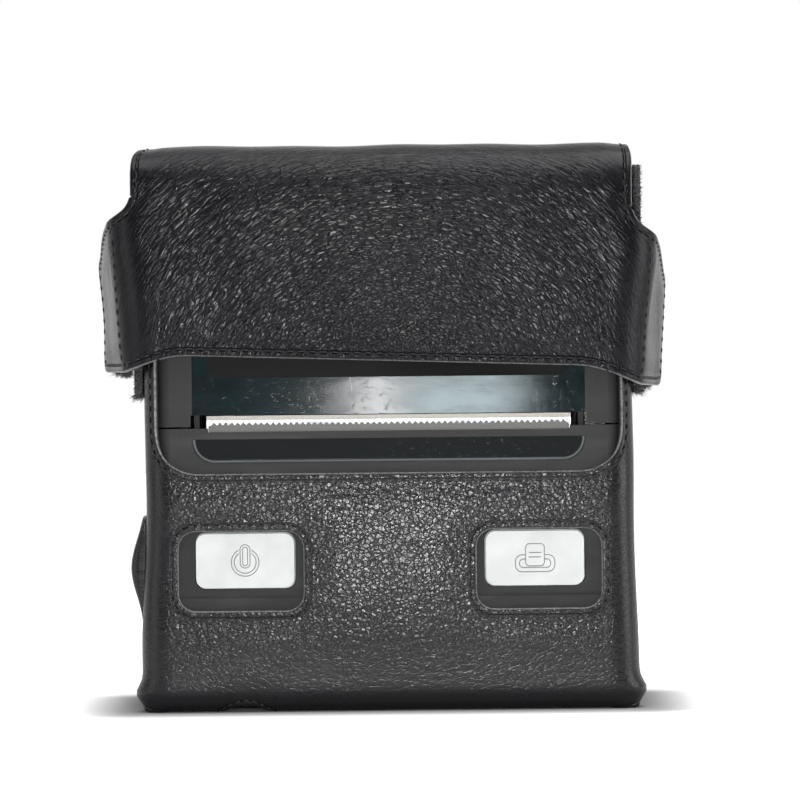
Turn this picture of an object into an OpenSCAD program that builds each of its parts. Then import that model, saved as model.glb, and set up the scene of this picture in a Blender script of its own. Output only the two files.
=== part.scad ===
// Portable thermal printer for 80 mm paper in a fitted leather carrying case.
// Millimetres, +Z up, +X to the right, the front faces -Y.
// The origin is the middle of the face that the case stands on.

/* [Printer body] */
// Width of the printer, side to side
body_w = 104.4; // [104:0.1:110]
// Depth of the printer, front to back
body_d = 45; // [44:0.5:60]
// Height of the printer
body_h = 120; // [112:0.5:140]
// Wall of the moulded shells
wall = 2; // [1.5:0.1:2.5]
// Radius of the upright edges of the shells
edge_r = 3; // [2:0.25:4]
// Radius of the lid's top front edge
brow_r = 8; // [4:0.5:9]
// Radius of the shell's bottom front edge
toe_r = 4; // [3:0.25:5]
// Height of the lid's lower edge above the printer's underside
split_h = 62; // [60:0.5:66]
// Gap of the seam between the lid and the shells
seam = 0.4; // [0.3:0.05:0.6]
// Height of the shadow groove round the lower shell
groove_h = 23.5; // [8:0.5:24]

/* [Leather case] */
// Thickness of the leather
leather = 1.8; // [1.2:0.1:2.4]
// Clearance between the leather and the printer, and between moving leather parts
slack = 0.3; // [0.2:0.05:0.5]
// Air between each side of the printer and the leather
side_gap = 1.6; // [0.5:0.1:3]
// Outer radius of the case's upright front edges
wrap_r = 6; // [5:0.25:6]
// Outer radius of the case's bottom front edge
hem_r = 5; // [4:0.25:6]
// Air between the printer's top and the flap
top_gap = 3.1; // [2.5:0.1:6]
// Half width of the front window
window_hw = 52.8; // [52.6:0.1:54]
// Height of the front window's lower edge above the printer's underside
window_h = 51.4; // [47:0.1:53]
// Radius of the front window's lower corners
window_r = 10; // [4:0.5:14]
// Width of a button window
key_window_w = 28; // [25:0.1:30]
// Height of a button window
key_window_h = 17.8; // [16:0.1:19]
// Radius of a button window's corners
key_window_r = 3.75; // [1:0.25:5]

/* [Flap] */
// Width of the flap where it passes over the top
neck_w = 109; // [100:0.5:110]
// Outer radius of the flap's bend over the top front edge
bend_r = 10; // [7:0.5:12]
// Distance from the flap's top to its lower edge
flap_drop = 48.5; // [40:0.5:55]
// Outer radius of the upright bend from the flap into a wing
wing_r = 8; // [6:0.5:9]
// Height of a wing
wing_h = 28.5; // [22:0.5:34]
// How far a wing hangs below the flap's lower edge
wing_dip = 4; // [0:0.5:6]
// Width over which the flap's lower edge dips into a wing
dip_w = 14; // [8:0.5:20]
// Length of a wing's flat part along the side of the case
wing_l = 23; // [18:0.5:28]
// Angle at which a wing stands off the side of the case
flare = 7; // [3:0.5:10]
// Height of the sloping shoulder between a wing's top and the neck of the flap
shoulder_h = 10.4; // [6:0.1:13]
// Thickness of the hook patch and of the loop patch
fleece = 1.8; // [1:0.1:2.2]
// Height of a loop patch on the case
loop_h = 51; // [40:0.5:52]

/* [Belt loop] */
// Width of the belt loop's strap
strap_w = 32; // [20:1:40]
// Clear height for a belt
belt_h = 40; // [30:1:50]
// Clear depth for a belt
belt_t = 5.2; // [4.5:0.1:8]
// Length of the sewn foot at each end of the strap
foot_l = 8; // [5:0.5:12]
// Height of the strap's lower end above the ground
strap_z = 38; // [20:1:55]

/* [Side and base cut-outs] */
// Length of the side cut-out along the depth
port_w = 14; // [12:0.25:15]
// Height of the side cut-out
port_h = 18.7; // [14:0.1:22]
// Width of the raised rim round the side cut-out
rim_w = 3.5; // [2:0.1:3.8]
// How far the rim stands off the leather
rim_t = 2.5; // [1:0.1:3]
// Height of the side cut-out's middle above the printer's underside
port_z = 29; // [26:0.25:32]
// Width of the base cut-out
charge_w = 14; // [12:0.25:15]
// Distance between the front face of the case and the base cut-out
charge_lip = 0.6; // [0.4:0.1:1]
// Length of the base cut-out, front to back
charge_l = 12; // [11:0.25:13]

/* [Buttons] */
// Width of a button
key_w = 22; // [20:0.1:24]
// Height of a button
key_h = 12.2; // [10:0.1:13]
// Radius of a button's corners
key_r = 2.2; // [0.5:0.1:4]
// Clearance round a button
key_gap = 0.3; // [0.25:0.05:0.5]
// How far a button stands proud of the shell
key_proud = 1.4; // [1:0.1:2]
// Travel of a button
key_travel = 0.6; // [0.3:0.05:0.8]
// Distance of a button's middle from the middle of the printer
key_x = 32.5; // [28:0.1:34]
// Height of a button's middle above the printer's underside
key_z = 31.9; // [30:0.1:33]
// Thickness of a button's retaining flange
flange_t = 1; // [0.8:0.05:1.2]
// How far the flange reaches past the button all round
flange_lip = 1.2; // [0.8:0.05:1.6]

/* [Front panels] */
// Half width of both glossy panels
panel_hw = 44; // [42:0.1:46]
// Distance from the upper panel's top edge up to the bend of the lid
panel_drop = 4; // [2:0.5:20]
// Height of the upper panel's plain strip below its sunk middle
inlay_up = 8.3; // [6:0.1:12]
// Half width of the upper panel's sunk middle
inlay_hw = 40.4; // [34:0.1:41]
// Width of the upper panel's plain edge above its sunk middle
inlay_edge = 3.6; // [2:0.1:8]
// Radius of the sunk middle's corners
inlay_r = 3; // [1:0.1:6]
// Depth of the sunk middle
inlay_d = 0.3; // [0.2:0.05:0.4]
// Height of the lower panel
lower_h = 5.2; // [3:0.1:6]
// Radius of the lower panel's bottom corners
lower_r = 4.8; // [1:0.1:5]
// Thickness of both panels
panel_t = 0.8; // [0.6:0.05:0.9]
// How far both panels stand proud
panel_proud = 0.1; // [0.05:0.05:0.3]
// Depth from the lid's lower edge down to the lower panel's top edge
ledge_h = 2.9; // [2.6:0.1:4]

/* [Paper exit and tear bar] */
// Height of the paper exit between the tear bar and the lid
exit_h = 1.7; // [1.4:0.1:2.5]
// Half width of the tear bar
bar_hw = 40.4; // [38:0.1:42]
// Thickness of the tear bar
bar_t = 1; // [0.8:0.1:1.2]
// Height of the tear bar
bar_h = 3.4; // [2.8:0.1:3.4]
// Height of the tear bar's teeth
tooth_h = 0.7; // [0.4:0.05:1]
// Spacing of the tear bar's teeth
tooth_pitch = 1.33; // [1:0.01:2]
// Thickness of the plastic lip in front of the tear bar
lip_t = 0.6; // [0.5:0.05:0.8]
// How far the tear bar's teeth show above the lip
bar_show = 2.1; // [1:0.1:2.5]

/* [Lid hinge] */
// Radius of the lid's hinge barrel
barrel_r = 5; // [4:0.1:6]
// Radius of the hinge pin
pin_r = 1.5; // [1:0.05:2]
// Half length of the hinge pin
pin_hl = 49; // [47:0.1:49.5]
// Distance of a hinge lug's middle from the middle of the printer
lug_x = 40; // [20:0.5:44]
// Width of a hinge lug
lug_w = 6; // [4:0.5:8]
// Reach of the lid's side arm below its hinge barrel
arm_drop = 5.7; // [4:0.1:8]
// Running clearance of a pin or a shaft
run = 0.05; // [0.02:0.01:0.08]

/* [Platen and gears] */
// Radius of the platen roller's rubber
platen_r = 4.8; // [4:0.1:5]
// Half length of the rubber
platen_hl = 39.9; // [36:0.1:40]
// Radius of the platen's shaft
shaft_r = 2; // [1.5:0.05:2.2]
// Distance of the platen's axis behind the printer's front face
platen_in = 7.8; // [7.7:0.05:8.2]
// Thickness of the lid's platen arms
yoke_t = 1.5; // [1.2:0.1:1.7]
// Outer radius of a platen bush
bush_r = 3.4; // [3:0.05:3.6]
// Length of a platen bush
bush_l = 1.8; // [1.4:0.1:2]
// Gear module, the pitch diameter over the number of teeth
gear_m = 0.5; // [0.48:0.005:0.51]
// Teeth on the platen gear
platen_teeth = 20; // [18:1:21]
// Teeth on the compound gear's small step
step_teeth = 16; // [14:1:17]
// Teeth on the compound gear's large step
large_teeth = 32; // [30:1:33]
// Teeth on the motor's pinion
pinion_teeth = 12; // [10:1:13]
// Play between meshing teeth
backlash = 0.2; // [0.12:0.01:0.3]
// Width of the platen gear
gear_w = 2.4; // [2:0.1:2.6]
// Width of the motor's pinion
pinion_w = 1.8; // [1.4:0.1:2]
// Radius of the compound gear's stud
stud_r = 1; // [0.7:0.05:1.2]
// Radius of the motor
motor_r = 9; // [7.5:0.1:9]
// Length of the motor
motor_l = 15; // [10:0.5:18]
// Radius of the motor's shaft
spindle_r = 0.75; // [0.5:0.05:0.9]

/* [Print mechanism] */
// Clearance between the platen and the print head, where the paper runs
nip = 0.3; // [0.25:0.05:0.4]
// Thickness of the print head's ceramic
head_t = 1; // [0.6:0.1:1.4]
// Depth of the print head, front to back
head_d = 11; // [9:0.1:11.2]
// Thickness of the heat sink
sink_t = 3.2; // [2:0.1:4]
// Thickness of the mechanism frame's steel
frame_t = 1.2; // [0.8:0.1:1.4]
// Height of a head spring
spring_h = 5.2; // [4:0.1:6]
// Radius of a head spring, to the middle of its wire
spring_r = 2.2; // [1.5:0.1:3]
// Radius of the head spring's wire
wire_r = 0.35; // [0.2:0.01:0.36]
// Turns of a head spring
spring_turns = 3.5; // [2:0.5:4]

/* [Paper] */
// Radius of the paper roll
roll_r = 18.5; // [14:0.1:18.8]
// Half length of the paper roll
roll_hl = 39.5; // [35:0.1:39.7]
// Radius of the roll's cardboard core
core_r = 7.5; // [6:0.1:9]
// Wall of the core
core_t = 1; // [0.6:0.1:1.5]
// Clearance between the roll and its cradle
roll_gap = 0.5; // [0.3:0.05:1]
// Wall of the cradle
cradle_t = 1.2; // [0.8:0.1:1.2]

/* [Electronics] */
// Half width of the circuit board
board_hw = 42; // [41:0.1:42.2]
// Thickness of the circuit board
board_t = 1.6; // [1:0.1:2]
// Distance of the circuit board's front behind the printer's front face
board_in = 9; // [8.8:0.05:9.4]
// Radius of a battery cell
cell_r = 9; // [7:0.1:9]
// Length of the battery pack
pack_l = 66; // [50:0.5:68]
// Side of a switch under a button
switch_w = 6; // [4:0.1:7]
// Height of a switch's case
switch_t = 3.5; // [2:0.1:3.6]
// Width of the data socket
socket_w = 8; // [6:0.1:9]
// Thickness of the data socket
socket_t = 3.5; // [2.5:0.1:3.6]
// Radius of the charging socket's bore
jack_r = 2.9; // [2:0.05:3.1]
// Side of the charging socket's case, across
jack_w = 9; // [7:0.1:9]
// Height of the charging socket's case
jack_h = 12; // [8:0.1:13]
// Radius of a screw's thread
screw_r = 1.25; // [0.8:0.05:1.3]
// Radius of a board screw's thread
board_screw_r = 1; // [0.7:0.05:1.1]

/* [Hidden] */
$fn = 48;
eps = 0.01;

// Printer limits
foot_z = leather + slack;
top_z = foot_z + body_h;
px = body_w / 2;
py = body_d / 2;
split_z = foot_z + split_h;
shell_z = split_z - seam;

// Case limits
case_ix = px + side_gap;
case_iy = py + slack;
case_ox = case_ix + leather;
case_oy = case_iy + leather;
flap_iz = top_z + top_gap;
flap_oz = flap_iz + leather;
flap_iy = case_oy + slack;
flap_oy = flap_iy + leather;
side_top_z = flap_iz - 4 * slack;
window_z = foot_z + window_h;
rim_h = port_h + 2 * rim_w;

// Flap fold at the back, and the fold in the middle of its front bend
fold_gap = 0.4;
fold_y = case_iy + leather / 2;
fold_z = flap_iz + leather / 2;
fold_end_r = leather / 2;
fold_cut_r = fold_end_r + fold_gap;
bend_y = -(flap_oy - bend_r);
bend_z = flap_oz - bend_r;
bend_mid_r = bend_r - leather / 2;
brow_y = bend_y - bend_mid_r * cos(45);
brow_z = bend_z + bend_mid_r * sin(45);
flap_low_z = flap_oz - flap_drop;

// Wings and their patches
loop_ox = case_ox + fleece;
hook_ix = loop_ox + slack;
wing_ix = hook_ix + fleece;
wing_ox = wing_ix + leather;
wing_cx = wing_ox - wing_r;
wing_cy = -(flap_oy - wing_r);
wing_mid_r = wing_r - leather / 2;
wing_fold_x = wing_cx + wing_mid_r * cos(45);
wing_fold_y = wing_cy - wing_mid_r * sin(45);
wing_low_z = flap_low_z - wing_dip;
wing_top_z = wing_low_z + wing_h;
wing_back_y = wing_cy + wing_l * cos(flare) + wing_r * sin(flare);
wing_corner = 4;
patch_margin = 1.6;
patch_corner = 1;
patch_over = 0.4;
loop_top_z = side_top_z - patch_margin;

// Lid hinge
hinge_y = py - wall - barrel_r - seam;
hinge_z = top_z - barrel_r;
arm_z = hinge_z - barrel_r - arm_drop;
lug_gap = 0.6;
lug_l = 10;
pin_end_gap = 0.5;

// Paper exit
panel_gap = 0.1;
panel_corner = 2;
bar_gap = 0.1;
bar_end_gap = 0.3;
exit_rise = 2.6;
exit_side = 0.5;
exit_z = split_z + exit_rise;
bar_top_z = exit_z - exit_h;
bar_low_z = bar_top_z - bar_h;
lip_z = bar_top_z - bar_show;
bar_slot_hw = bar_hw + bar_end_gap;
bar_y = -py + lip_t + bar_gap;
exit_hw = panel_hw + exit_side;
upper_z = exit_z;
upper_top_z = top_z - brow_r - panel_drop;
inlay_z = upper_z + inlay_up;
lower_top_z = split_z - ledge_h;
lower_z = lower_top_z - lower_h;

// Platen and gear train: the compound gear lies opposite the way that the platen leaves
roller_gap = 0.5;
cheek_gap = 0.7;
bush_in = 0.3;
gear_gap = 0.6;
step_gap = 0.2;
stud_gap = 0.1;
yoke_in = 0.2;
platen_y = -py + platen_in;
platen_z = exit_z + bar_gap + platen_r;
leave_y = platen_z - hinge_z;
leave_z = hinge_y - platen_y;
leave_l = norm([leave_y, leave_z]);
platen_gear_r = gear_m * platen_teeth / 2;
step_r = gear_m * step_teeth / 2;
large_r = gear_m * large_teeth / 2;
pinion_r = gear_m * pinion_teeth / 2;
train_y = platen_y - leave_y / leave_l * (platen_gear_r + step_r);
train_z = platen_z - leave_z / leave_l * (platen_gear_r + step_r);
motor_tilt = 37;
motor_y = train_y + (large_r + pinion_r) * cos(motor_tilt);
motor_z = train_z - (large_r + pinion_r) * sin(motor_tilt);
yoke_x = platen_hl + roller_gap;
cheek_x = yoke_x + yoke_t + cheek_gap;
bush_x = cheek_x - bush_in;
gear_x = cheek_x + frame_t + gear_gap;
large_x = gear_x + gear_w + step_gap;
stud_x = large_x + pinion_w + stud_gap;
stud_head_t = 0.5;
stud_head_r = stud_r + 0.6;
spindle_in = 3;
spindle_gap = 0.1;
spindle_over = 0.2;
shaft_over = 0.4;
motor_rim = 0.8;
slot_gap = 0.35;
cheek_top = 3;

// Print mechanism, stacked down from the nip
head_over = 1.1;
head_gap = 0.5;
ear_gap = 1;
ledge_gap = 2.2;
ledge_over = 0.7;
ledge_t = 6;
head_z = platen_z - platen_r - nip - head_t;
sink_z = head_z - sink_t;
spring_z = sink_z - spring_h;
frame_z = spring_z - frame_t;
head_hw = platen_hl + head_over;
head_y = -py + wall + head_gap;
head_back_y = head_y + head_d;
ear_x = px - wall - ear_gap;
ledge_x = cheek_x + frame_t + ledge_gap;
ledge_d = head_d + ledge_over;
spring_xs = [-24, 0, 24];
spring_end = 0.1;
fin_pitch = 6;
fin_slot_w = 1.6;
fin_slot_h = 0.8;
fin_margin = 4;
sink_in = 0.2;
mech_screw_x = ear_x - 2.2;
mech_screw_y = -py + wall + 2;
mech_screw_l = 4;
mech_head_r = 1.8;
mech_head_t = 1;

// Paper bay
roll_y = 0;
roll_rise = 26.4;
roll_side = 0.8;
guide_t = 1.2;
guide_gap = 1.6;
guide_rise = 8;
guide_front_y = -8;
tab_in_y = 6;
tab_l = 12;
tab_fall = 8;
tab_t = 2;
tab_gap = 0.1;
trough_a0 = 240;
trough_span = 140;
roll_z = head_z + roll_rise;
cradle_in_r = roll_r + roll_gap;
cradle_out_r = cradle_in_r + cradle_t;
cradle_hw = roll_hl + roll_side;
guide_low_z = motor_z + motor_r + guide_gap;
guide_top_z = roll_z + guide_rise;
sensor_y = -3;
sensor_hw = 4;
sensor_d = 3;
sensor_h = 2.6;
sensor_gap = 0.2;

// Circuit board and what is on it
board_rise = 3.9;
board_gap = 1.65;
board_y = -py + board_in;
board_back_y = board_y + board_t;
board_z = foot_z + wall + board_rise;
board_top_z = frame_z - board_gap;
board_mid_z = (board_z + board_top_z) / 2;
tab_low = 18;
tab_high = 30;
tab_reach = 6.8;
chip_hw = 7;
chip_t = 1.4;
driver_x = 18;
driver_hw = 4;
driver_t = 1.5;
driver_gap = 2.1;
radio_x = -3;
radio_hw = 9;
radio_hh = 6;
radio_t = 2.4;
radio_up = 3;
plug_hw = 16;
plug_h = 6;
plug_gap = 0.05;
ribbon_hw = 15;
ribbon_t = 0.3;
ribbon_in = 5;

// Buttons and their windows
stem_l = 0.6;
stem_r = 1.5;
plunger_r = 1.7;
key_face_y = -py - key_proud;
key_back_y = -py + wall + key_gap;
stem_end_y = key_back_y + flange_t + stem_l;
plunger_y = stem_end_y + key_travel + slack;
key_cz = foot_z + key_z;
key_window_dx = 0.9;
key_window_dz = -2.3;

// Screws and what they go into
boss_x = px - 6;
boss_zs = [foot_z + 9.9, foot_z + 41.9];
boss_r = 3.5;
groove_d = 0.5;
groove_w = 0.6;
screw_seat_y = 12;
screw_tip_y = -8;
screw_head_r = 2.5;
screw_head_t = 1.6;
screw_head_gap = 0.4;
screw_tip_gap = 1;
standoff_x = board_hw - 2.6;
standoff_in = 4;
standoff_zs = [board_z + standoff_in, board_top_z - standoff_in];
standoff_r = 2.2;
board_hole_gap = 0.1;
board_screw_l = 4;
board_head_r = 2;
board_head_t = 1;

// Sockets and the cut-outs in the case
charge_x = -32.6;
jack_in = 1.1;
jack_floor = 2;
jack_front = 3.4;
jack_pin_r = 0.9;
jack_pin_up = 1;
jack_up = 0.5;
jack_z = foot_z + wall + jack_up;
charge_y = board_y - jack_w / 2 + jack_in;
boot_w = 11;
boot_in = 0.1;
boot_back = 3.4;
boot_r = 0.9;
boot_gap = 0.2;
socket_up = 6;
socket_z = board_z + tab_low + socket_up;
socket_gap = 0.2;
socket_wall = 0.5;
socket_in = 0.2;
socket_l = 7.8;
port_y = -7;
port_corner = 4;
port_cz = foot_z + port_z;
charge_corner = 5;
charge_front_y = -case_oy + charge_lip;

// Battery
pack_rise = 6;
cell_gap = 0.2;
pack_sink = 0.5;
bay_corner = 2;
bay_gap = 0.3;
pack_z = foot_z + wall + pack_rise;
pack_h = 4 * cell_r + cell_gap;
pack_y = py - wall + pack_sink - cell_r;
bay_wall_t = 1.6;
bay_wall_gap = 0.4;
door_gap = 0.2;
door_edge = 2;
door_t = 1.2;
contact_gap = 0.8;
contact_t = 3.4;
contact_hd = 3.9;
contact_h = 11.8;
contact_fit = 0.1;
blade_hd = 2.5;
blade_h = 1.8;
blade_pitch = 3.6;
blade_reach = 0.5;
contact_x = -pack_l / 2 - contact_gap;
contact_z = pack_z + (pack_h - contact_h) / 2;
bay_wall_x = pack_l / 2 + bay_wall_gap + bay_wall_t / 2;

// Flat shapes

// Rectangle between two corners with one radius on all its corners
module round_rect(x0, y0, x1, y1, r) {
    translate([x0 + r, y0]) square([x1 - x0 - 2 * r, y1 - y0]);
    translate([x0, y0 + r]) square([x1 - x0, y1 - y0 - 2 * r]);
    for (x = [x0 + r, x1 - r], y = [y0 + r, y1 - r]) translate([x, y]) circle(r = r);
}

// Rectangle between two corners whose low Y corners alone are round
module foot_rect(x0, y0, x1, y1, r) {
    translate([x0 + r, y0]) square([x1 - x0 - 2 * r, y1 - y0]);
    translate([x0, y0 + r]) square([x1 - x0, y1 - y0 - r]);
    intersection() {
        translate([x0, y0]) square([x1 - x0, y1 - y0]);
        for (x = [x0 + r, x1 - r]) translate([x, y0 + r]) circle(r = r);
    }
}

// Sector of a ring between two radii, drawn counterclockwise from angle a0 over span degrees
module arc_band(r_in, r_out, a0, span) {
    reach = r_out * 2;
    intersection() {
        difference() {
            circle(r = r_out, $fn = 96);
            circle(r = r_in, $fn = 96);
        }
        polygon([[0, 0], for (i = [0:4]) reach * [cos(a0 + span * i / 4), sin(a0 + span * i / 4)]]);
    }
}

// Spur gear outline: flanks lean in from root to tip round the pitch circle
module gear_shape(teeth, play) {
    pitch_r = gear_m * teeth / 2;
    tip_r = pitch_r + 0.9 * gear_m;
    root_r = pitch_r - 1.15 * gear_m;
    step = 360 / teeth;
    half = step / 4 - play / 4 / pitch_r * 180 / PI;
    polygon([for (i = [0:teeth - 1], p = [[root_r, -1.75], [pitch_r, -1], [tip_r, -0.42], [tip_r, 0.42],
        [pitch_r, 1], [root_r, 1.75]]) p[0] * [cos(i * step + p[1] * half), sin(i * step + p[1] * half)]]);
}

// Solids

// Extrudes a side profile, drawn as [y, z], from x0 over a length along +X
module along_x(x0, l) {
    translate([x0, 0, 0]) rotate([90, 0, 90]) linear_extrude(l) children();
}

// Extrudes a front profile, drawn as [x, z], from y0 over a depth along +Y
module along_y(y0, l) {
    translate([0, y0 + l, 0]) rotate([90, 0, 0]) linear_extrude(l) children();
}

// Round bar along X
module rod_x(x0, l, y, z, r) {
    translate([x0, y, z]) rotate([0, 90, 0]) cylinder(r = r, h = l);
}

// Round bar along Y
module rod_y(x, y0, l, z, r) {
    translate([x, y0, z]) rotate([-90, 0, 0]) cylinder(r = r, h = l);
}

// Block between two corners
module block(a, b) {
    translate(a) cube(b - a);
}

// The shape and its mirror image in the plane x = 0
module both_sides() {
    children();
    mirror([1, 0, 0]) children();
}

// Carries a gear outline to its axis, turned by a phase and extruded along X
module gear_at(x0, l, y, z, phase, teeth, play) {
    translate([x0, y, z]) rotate([0, 90, 0]) rotate([0, 0, phase]) linear_extrude(l) gear_shape(teeth, play);
}

// Helical spring along Z as one tube
module spring(x, y, z) {
    rings = 12 * spring_turns;
    lift = spring_h - 2 * spring_end - 2 * wire_r;
    points = [for (i = [0:rings], j = [0:5])
        let (a = 30 * i, rr = spring_r + wire_r * cos(60 * j))
        [rr * cos(a), rr * sin(a), spring_end + wire_r + lift * i / rings + wire_r * sin(60 * j)]];
    sides = [for (i = [0:rings - 1], j = [0:5]) let (k = (j + 1) % 6)
        each [[6 * i + j, 6 * i + 6 + k, 6 * i + k], [6 * i + j, 6 * i + 6 + j, 6 * i + 6 + k]]];
    ends = [[for (j = [0:5]) j], [for (j = [5:-1:0]) 6 * rings + j]];
    translate([x, y, z]) polyhedron(points, concat(sides, ends));
}

// Leather case

// Plan outline of the case or the hollow in it, round at the front
module plan(hx, hy, r, back) {
    foot_rect(-hx, -hy, hx, back, r);
}

// Front and both sides as one wrap of leather, with its bottom front edge
module case_wrap() {
    color("#1d1c20") difference() {
        intersection() {
            linear_extrude(side_top_z) plan(case_ox, case_oy, wrap_r, case_iy);
            along_x(-case_ox, 2 * case_ox) {
                foot_rect(-case_oy, 0, case_iy + 1, bend_z, hem_r);
                translate([bend_y, bend_z - 1]) square([case_iy + 1 - bend_y, side_top_z - bend_z + 1]);
                translate([bend_y, bend_z]) circle(r = bend_r - leather - slack);
            }
        }
        intersection() {
            translate([0, 0, -1]) linear_extrude(side_top_z + 2)
                plan(case_ix, case_iy, wrap_r - leather, case_iy + 1);
            along_x(-case_ix - 1, 2 * case_ix + 2) {
                foot_rect(-case_iy, leather, case_iy + 2, side_top_z + 2, hem_r - leather);
                translate([hem_r - case_oy, -1]) square([case_oy + case_iy - hem_r + 2, side_top_z]);
            }
        }
        along_y(-case_oy - 1, leather + edge_r)
            foot_rect(-window_hw, window_z, window_hw, side_top_z + 1, window_r);
        for (s = [-1, 1]) along_y(-case_oy - 1, leather + 2)
            translate([s * (key_x + key_window_dx), key_cz + key_window_dz])
            round_rect(-key_window_w / 2, -key_window_h / 2, key_window_w / 2, key_window_h / 2, key_window_r);
        port_hole();
        charge_hole();
    }
}

// Side cut-out, which passes the leather and the rim
module port_hole() {
    along_x(-case_ox - rim_t - 1, leather + rim_t + 2) translate([port_y, port_cz])
        round_rect(-port_w / 2, -port_h / 2, port_w / 2, port_h / 2, port_corner);
}

// Base cut-out
module charge_hole() {
    translate([charge_x, charge_front_y + charge_l / 2, -1]) linear_extrude(hem_r + 1)
        round_rect(-charge_w / 2, -charge_l / 2, charge_w / 2, charge_l / 2, charge_corner);
}

module case_back() {
    color("#1d1c20") block([-case_ox, case_iy, 0], [case_ox, case_oy, fold_z - fold_end_r - 2 * slack]);
}

module case_base() {
    color("#1d1c20") difference() {
        linear_extrude(leather) intersection() {
            plan(case_ix, case_iy, wrap_r - leather, case_iy);
            translate([-case_ix, hem_r - case_oy]) square([2 * case_ix, case_oy + case_iy]);
        }
        charge_hole();
    }
}

// Raised rim sewn round the side cut-out
module port_rim() {
    color("#1d1c20") difference() {
        along_x(-case_ox - rim_t, rim_t) translate([port_y, port_cz])
            round_rect(-port_w / 2 - rim_w, -rim_h / 2, port_w / 2 + rim_w, rim_h / 2, port_corner + rim_w);
        port_hole();
    }
}

// Strap sewn on the back, which a waist belt passes behind
module belt_loop() {
    z1 = strap_z + foot_l;
    z2 = z1 + belt_h + 2 * leather;
    out_y = case_oy + belt_t + leather;
    color("#1d1c20") along_x(-strap_w / 2, strap_w) {
        translate([case_oy, strap_z]) square([leather, foot_l + leather]);
        translate([case_oy, z2 - leather]) square([leather, foot_l + leather]);
        translate([case_oy, z1]) square([out_y - case_oy, leather]);
        translate([case_oy, z2 - leather]) square([out_y - case_oy, leather]);
        translate([out_y - leather, z1]) square([leather, z2 - z1]);
    }
}

module loop_patch() {
    color("#17171a") along_x(case_ox, fleece)
        round_rect(-case_oy + wrap_r + patch_margin, loop_top_z - loop_h, wing_back_y + patch_over, loop_top_z,
            patch_corner);
}
module loop_patch_left() { mirror([1, 0, 0]) loop_patch(); }
module loop_patch_right() { loop_patch(); }

// Flap from its fold at the back to the middle of the front bend
module flap_top() {
    color("#1f1e22") along_x(-neck_w / 2, neck_w) {
        translate([fold_y, fold_z]) circle(r = fold_end_r);
        translate([bend_y, flap_iz]) square([fold_y - bend_y, leather]);
        translate([bend_y, bend_z]) arc_band(bend_r - leather, bend_r, 90, 45);
        translate([brow_y, brow_z]) circle(r = fold_end_r);
    }
}

// Half of a rounded step: 0 to 1 as t goes from 0 to 1
function ease(t) = (1 - cos(180 * t)) / 2;
function mix(a, b, t) = a + (b - a) * t;

// Front view of the flap below its neck: a dip in the lower edge and a sloping shoulder at each side
module flap_outline() {
    steps = 12;
    far_x = wing_ox + wing_l;
    side = concat(
        [for (i = [0:steps]) [mix(wing_ox - dip_w, wing_ox, i / steps), flap_low_z - wing_dip * ease(i / steps)]],
        [[far_x, wing_low_z], [far_x, wing_top_z]],
        [for (i = [0:steps]) [mix(wing_ox, neck_w / 2, i / steps), wing_top_z + shoulder_h * ease(i / steps)]],
        [[neck_w / 2, bend_z]]);
    polygon(concat(side, [for (i = [len(side) - 1:-1:0]) [-side[i][0], side[i][1]]]));
}

// Flap from the middle of the front bend to its lower edge, with half of each upright bend
module flap_front() {
    color("#1f1e22") {
        difference() {
            along_x(-neck_w / 2, neck_w) translate([bend_y, bend_z])
                arc_band(bend_r - leather, bend_r, 135, 45);
            rod_x(-neck_w / 2 - 1, neck_w + 2, brow_y, brow_z, fold_cut_r);
        }
        intersection() {
            difference() {
                translate([0, 0, wing_low_z - 1]) linear_extrude(bend_z + 1 - wing_low_z + eps) {
                    translate([-wing_cx, -flap_oy]) square([2 * wing_cx, leather]);
                    translate([wing_cx, wing_cy]) arc_band(wing_r - leather, wing_r, 270, 45);
                    mirror([1, 0]) translate([wing_cx, wing_cy]) arc_band(wing_r - leather, wing_r, 270, 45);
                    translate([-neck_w / 2, -flap_oy]) square([neck_w, leather]);
                }
                both_sides() translate([wing_fold_x, wing_fold_y, 0]) cylinder(r = fold_cut_r, h = flap_oz);
            }
            along_y(-flap_oy - 1, flap_oy) flap_outline();
        }
    }
}

// Places a flat part in the plane of the right wing, x across its thickness and y along it
module on_wing() {
    translate([wing_cx, wing_cy, 0]) rotate([0, 0, -flare]) children();
}

// Wing that closes round the side of the case
module wing() {
    color("#1f1e22") intersection() {
        union() {
            translate([0, 0, wing_low_z]) linear_extrude(shoulder_h + wing_h) {
                translate([wing_cx, wing_cy]) arc_band(wing_r - leather, wing_r, 315, 45 - flare);
                translate([wing_fold_x, wing_fold_y]) circle(r = fold_end_r);
            }
            on_wing() along_x(wing_r - leather, leather) {
                round_rect(0, wing_low_z, wing_l, wing_top_z, wing_corner);
                translate([-eps, wing_low_z]) square([wing_l / 2, wing_h]);
            }
        }
        along_y(-flap_oy - 1, 2 * flap_oy) flap_outline();
    }
}
module wing_left() { mirror([1, 0, 0]) wing(); }
module wing_right() { wing(); }

module hook_patch() {
    color("#151517") on_wing() along_x(wing_r - leather - fleece, fleece)
        round_rect(patch_margin, wing_low_z + patch_margin, wing_l - patch_margin, wing_top_z - patch_margin,
            patch_corner);
}
module hook_patch_left() { mirror([1, 0, 0]) hook_patch(); }
module hook_patch_right() { hook_patch(); }

// Printer shells

// Printer's outer block between two heights, round at the front or the back
module shell_block(y0, y1, z0, z1) {
    translate([0, 0, z0]) linear_extrude(z1 - z0) intersection() {
        round_rect(-px, -py, px, py, edge_r);
        translate([-px - 1, y0]) square([2 * px + 2, y1 - y0]);
    }
}

// Upright posts at the four shell screws
module at_shell_screws() {
    for (x = [-boss_x, boss_x], z = boss_zs) translate([x, 0, z]) children();
}

module at_board_screws() {
    for (x = [-standoff_x, standoff_x], z = standoff_zs) translate([x, 0, z]) children();
}

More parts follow.
